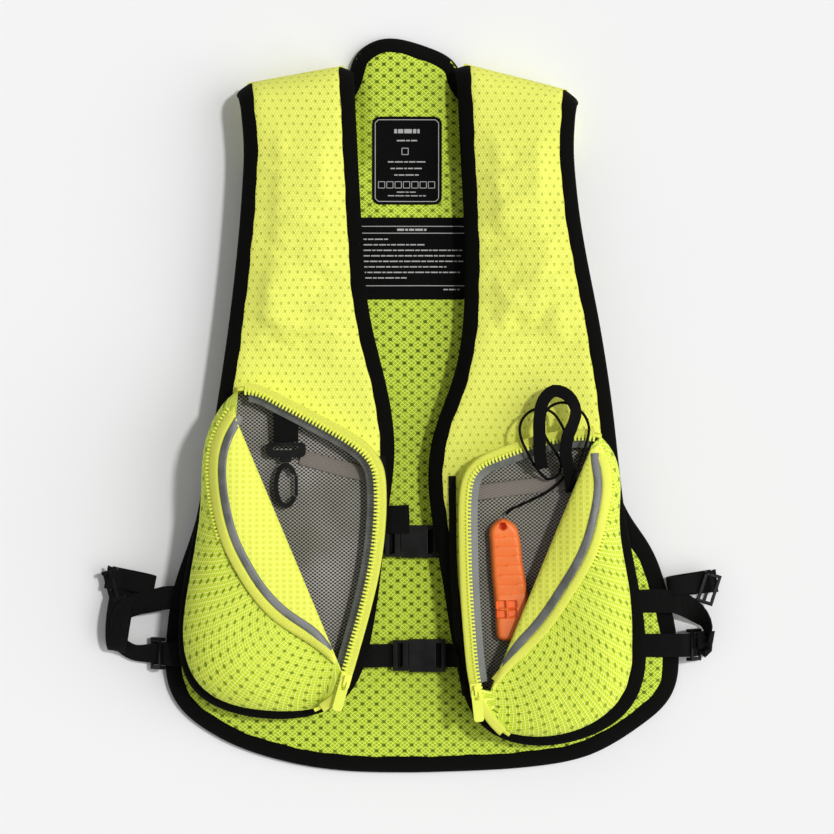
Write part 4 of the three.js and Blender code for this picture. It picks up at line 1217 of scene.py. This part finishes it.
def whistle():
    """The whistle: a rounded body with stepped grips on its upper half and four sunk windows."""
    loop = loop_of("whistle")
    low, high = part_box("whistle")
    loop = resample(ringed(loop), 1.6 * MM)[:-1]
    points, faces = filled(loop, 1.15 * MM)
    away = distance_to(points, ringed(loop))
    top, foot = loop[np.argmax(loop[:, 1])], loop[np.argmin(loop[:, 1])]
    way = (foot - top) / np.linalg.norm(foot - top)
    long = np.linalg.norm(foot - top)
    run = (points - top) @ way / long
    across = (points - top) @ np.array((-way[1], way[0]))
    depth = high.z - low.z
    round_edge = np.sqrt(np.clip(1 - (1 - np.clip(away / (4.2 * MM), 0, 1)) ** 2, 0, 1))
    step = (run * 13.0) % 1.0
    grips = smoothstep(run, 0.10, 0.16) * smoothstep(-run, -0.66, -0.60) * (step**2) * 1.3 * MM
    height = low.z + depth * (0.42 + 0.58 * round_edge) - grips * round_edge
    for place, aside in ((0.70, -4.4), (0.70, 4.4), (0.775, -4.4), (0.775, 4.4)):
        u = np.abs(run - place) * long / (3.0 * MM)
        v = np.abs(across - aside * MM) / (3.4 * MM)
        height -= smoothstep(-np.maximum(u, v), -1.12, -0.9) * 3.6 * MM
    eye = np.linalg.norm(points - (top + way * 6.5 * MM), axis=1)
    height -= smoothstep(-eye, -3.4 * MM, -2.2 * MM) * depth * 0.8
    under = low.z + depth * 0.28 * (1 - round_edge)
    verts, faces = closed(points, faces, under, np.maximum(height, under + 0.4 * MM))
    made = piece("whistle_body", verts, faces, ORANGE, "whistle", sharp=55)
    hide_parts("whistle")


RIBBON_THICKNESS = 1.5 * MM
RIBBON_TOP = ((-0.5, 0.2), (-0.47, 0.5), (-0.2, 0.42), (0.2, 0.42), (0.47, 0.5), (0.5, 0.2))


def ribbon(name, stops, body, width=19 * MM, nodes=()):
    """Webbing along a route. A stop is x, y, z in mm and the width's way, whose length scales the width."""
    route = catmull([tuple(c * MM for c in stop[:3]) for stop in stops], 6)
    ways = resample(np.array([stop[3:] for stop in stops], float), 0, len(route))
    rings = []
    for i, (p, w) in enumerate(zip(route, ways)):
        way = route[min(i + 1, len(route) - 1)] - route[max(i - 1, 0)]
        way /= np.linalg.norm(way)
        u = w - (w @ way) * way
        v = np.cross(way, u / np.linalg.norm(u))
        u *= np.linalg.norm(w) / np.linalg.norm(u)
        section = RIBBON_TOP + tuple((-a, -b) for a, b in RIBBON_TOP)
        rings.append(np.array([p + u * a * width + v * b * RIBBON_THICKNESS for a, b in section]))
    made = loft(name, rings, WEBBING, body)
    if nodes:
        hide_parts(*nodes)


def buckle_wrap(buckle, part, body, way):
    """The webbing's turn over the bar of a buckle's half."""
    low, high = (np.array(c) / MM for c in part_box(f"{buckle}_buckle_{part}"))
    x, y, z = (high if way > 0 else low)[0], (low[1] + high[1]) / 2, (low[2] + high[2]) / 2
    ribbon(f"{buckle}_{part}_wrap", [
        (x + way * 3, y, z + 1, 0, 1, 0), (x - way * 4, y, z + 0.6, 0, 1, 0),
        (x - way * 8, y, z - 1.5, 0, 1, 0),
    ], body, 18.6 * MM)


# The webbing down each front's inner edge, as x and y in mm.
INNER_WEBBING = {
    "right": ((33, -58), (33.5, -120), (37, -180), (44, -236)),
    "left": ((-24, -42), (-21.5, -76)),
}

# The whistle's cord, as the CAD routes it: out of the tether, two loops over the pocket's edge, the whistle.
CORD_DIAMETER = 2.2 * MM
CORD_SIDES = 10
CORD_ROUTE = [
    (129, -67, 61.2), (132, -57, 65.4), (136, -45, 69), (140, -33, 72), (142.5, -20, 70.5), (139, -9.5, 64),
    (132.5, -3.5, 59), (122.5, 0.8, 56), (113.5, -1.6, 56.5), (108, -7, 59), (105, -16, 66),
    (106.5, -24.5, 70.5), (110.5, -31.8, 70.5), (116.8, -40.6, 67.5), (120.5, -49, 62), (118, -57.5, 57.5),
    (110, -61, 56), (101, -52.5, 60), (94, -41, 69.2), (88.5, -29.5, 71), (87, -19.8, 66.5), (90.5, -11, 60),
    (98.5, -5, 54.5), (106, -4, 52.5), (113.5, -7.2, 55), (121, -18, 67), (125, -28.5, 70.2),
    (127.5, -37.5, 67.5), (127.5, -48, 61.5), (122.5, -60, 53.5), (112.5, -69.5, 53), (101, -76, 53),
    (88, -82, 54), (80, -85.8, 55.5), (76.4, -89.4, 56),
]


def catmull(points, steps=8):
    """A smooth centripetal line through points."""
    p = [np.array(q, float) for q in points]
    p = [2 * p[0] - p[1], *p, 2 * p[-1] - p[-2]]
    line = []
    for i in range(1, len(p) - 2):
        knots = [0.0]
        for j in range(3):
            knots.append(knots[-1] + np.linalg.norm(p[i + j] - p[i + j - 1]) ** 0.5)
        for k in range(steps):
            t = knots[1] + (knots[2] - knots[1]) * k / steps

            def between(low, high, start, end):
                return ((high - t) * start + (t - low) * end) / (high - low)

            a = [between(knots[j], knots[j + 1], p[i - 1 + j], p[i + j]) for j in range(3)]
            b = [between(knots[j], knots[j + 2], a[j], a[j + 1]) for j in range(2)]
            line.append(between(knots[1], knots[2], *b))
    return np.array([*line, p[-2]])


def whistle_cord():
    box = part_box("whistle_cord")
    route = catmull([tuple(c * MM for c in p) for p in CORD_ROUTE])
    shift = np.array(box[0]) - (route.min(0) - CORD_DIAMETER / 2)
    route = route + np.array((*(np.round(shift[:2] / (0.1 * MM)) * 0.1 * MM), 0))
    turns = [TURN * k / CORD_SIDES for k in range(CORD_SIDES)]
    rings = []
    for i, p in enumerate(route):
        way = route[min(i + 1, len(route) - 1)] - route[max(i - 1, 0)]
        way /= np.linalg.norm(way)
        u = np.cross(way, (0, 0, 1))
        u /= np.linalg.norm(u)
        v = np.cross(u, way)
        rings.append(np.array([p + (u * math.cos(a) + v * math.sin(a)) * CORD_DIAMETER / 2 for a in turns]))
    made = loft("whistle_lanyard", rings, CORD, "right_front", sharp=70)
    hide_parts("whistle_cord")


def main():
    studio()
    whistle_cord()
    shoulder_lines()
    back_top = back_panel()
    for name, side in SIDES.items():
        front_panel(name, side)
        shoulder_back(name, side)
        pocket(name, side)
    label("care_patch", "care_label", back_top, CARE_ROWS, True)
    label("warning_patch", "warning_label", back_top, WARNING_ROWS, False)
    for side in SIDES:
        for part in ("upper_strap", "lower_strap"):
            strap(f"{side}_{part}")
        tail(side)
        carried(side + "_upper_adjuster", PLASTIC)
        carried(side + "_lower_adjuster", PLASTIC)
        carried(side + "_zip_slider", ZIP_PLASTIC)
        carried(side + "_zip_pull", ZIP_PLASTIC)
    for buckle in ("upper", "lower"):
        strap(buckle + "_buckle_left_webbing", body=buckle + "_male")
        strap(buckle + "_buckle_right_webbing", body="right_front")
        for part in ("female", "male", "prong_a", "prong_b"):
            carried(f"{buckle}_buckle_{part}", PLASTIC)
    strap("key_tab", body="left_front")
    strap("tether_loop", TETHER, "right_front", 0.4 * MM, 0.15 * MM)
    for node in ("key_clip_eye", "key_hook", "key_hook_gate"):
        carried(node, PLASTIC)
    whistle()
    for side in SIDES:
        strap_return(side)
    hanging_loop()
    for buckle in ("upper", "lower"):
        for part, body, way in (("male", buckle + "_male", -1), ("female", "right_front", 1)):
            buckle_wrap(buckle, part, body, way)
    for name, stops in INNER_WEBBING.items():
        tape(
            name + "_inner_webbing", np.array(stops) * MM, 6 * MM, SIDES[name]["panel_top"], WEBBING,
            name + "_front", 1.2 * MM, 1.1 * MM,
        )
    low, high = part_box("upper_buckle_male")
    x, y, z = low.x / MM + 11, high.y / MM, high.z / MM
    ribbon("upper_buckle_tail", [
        (x, y - 6, z + 0.4, 1, 0, 0), (x, y + 4, z - 0.4, 1, 0, 0.1), (x - 0.5, y + 17, z - 2, 1, 0, 0.1),
    ], "upper_male", 18.5 * MM)


main()
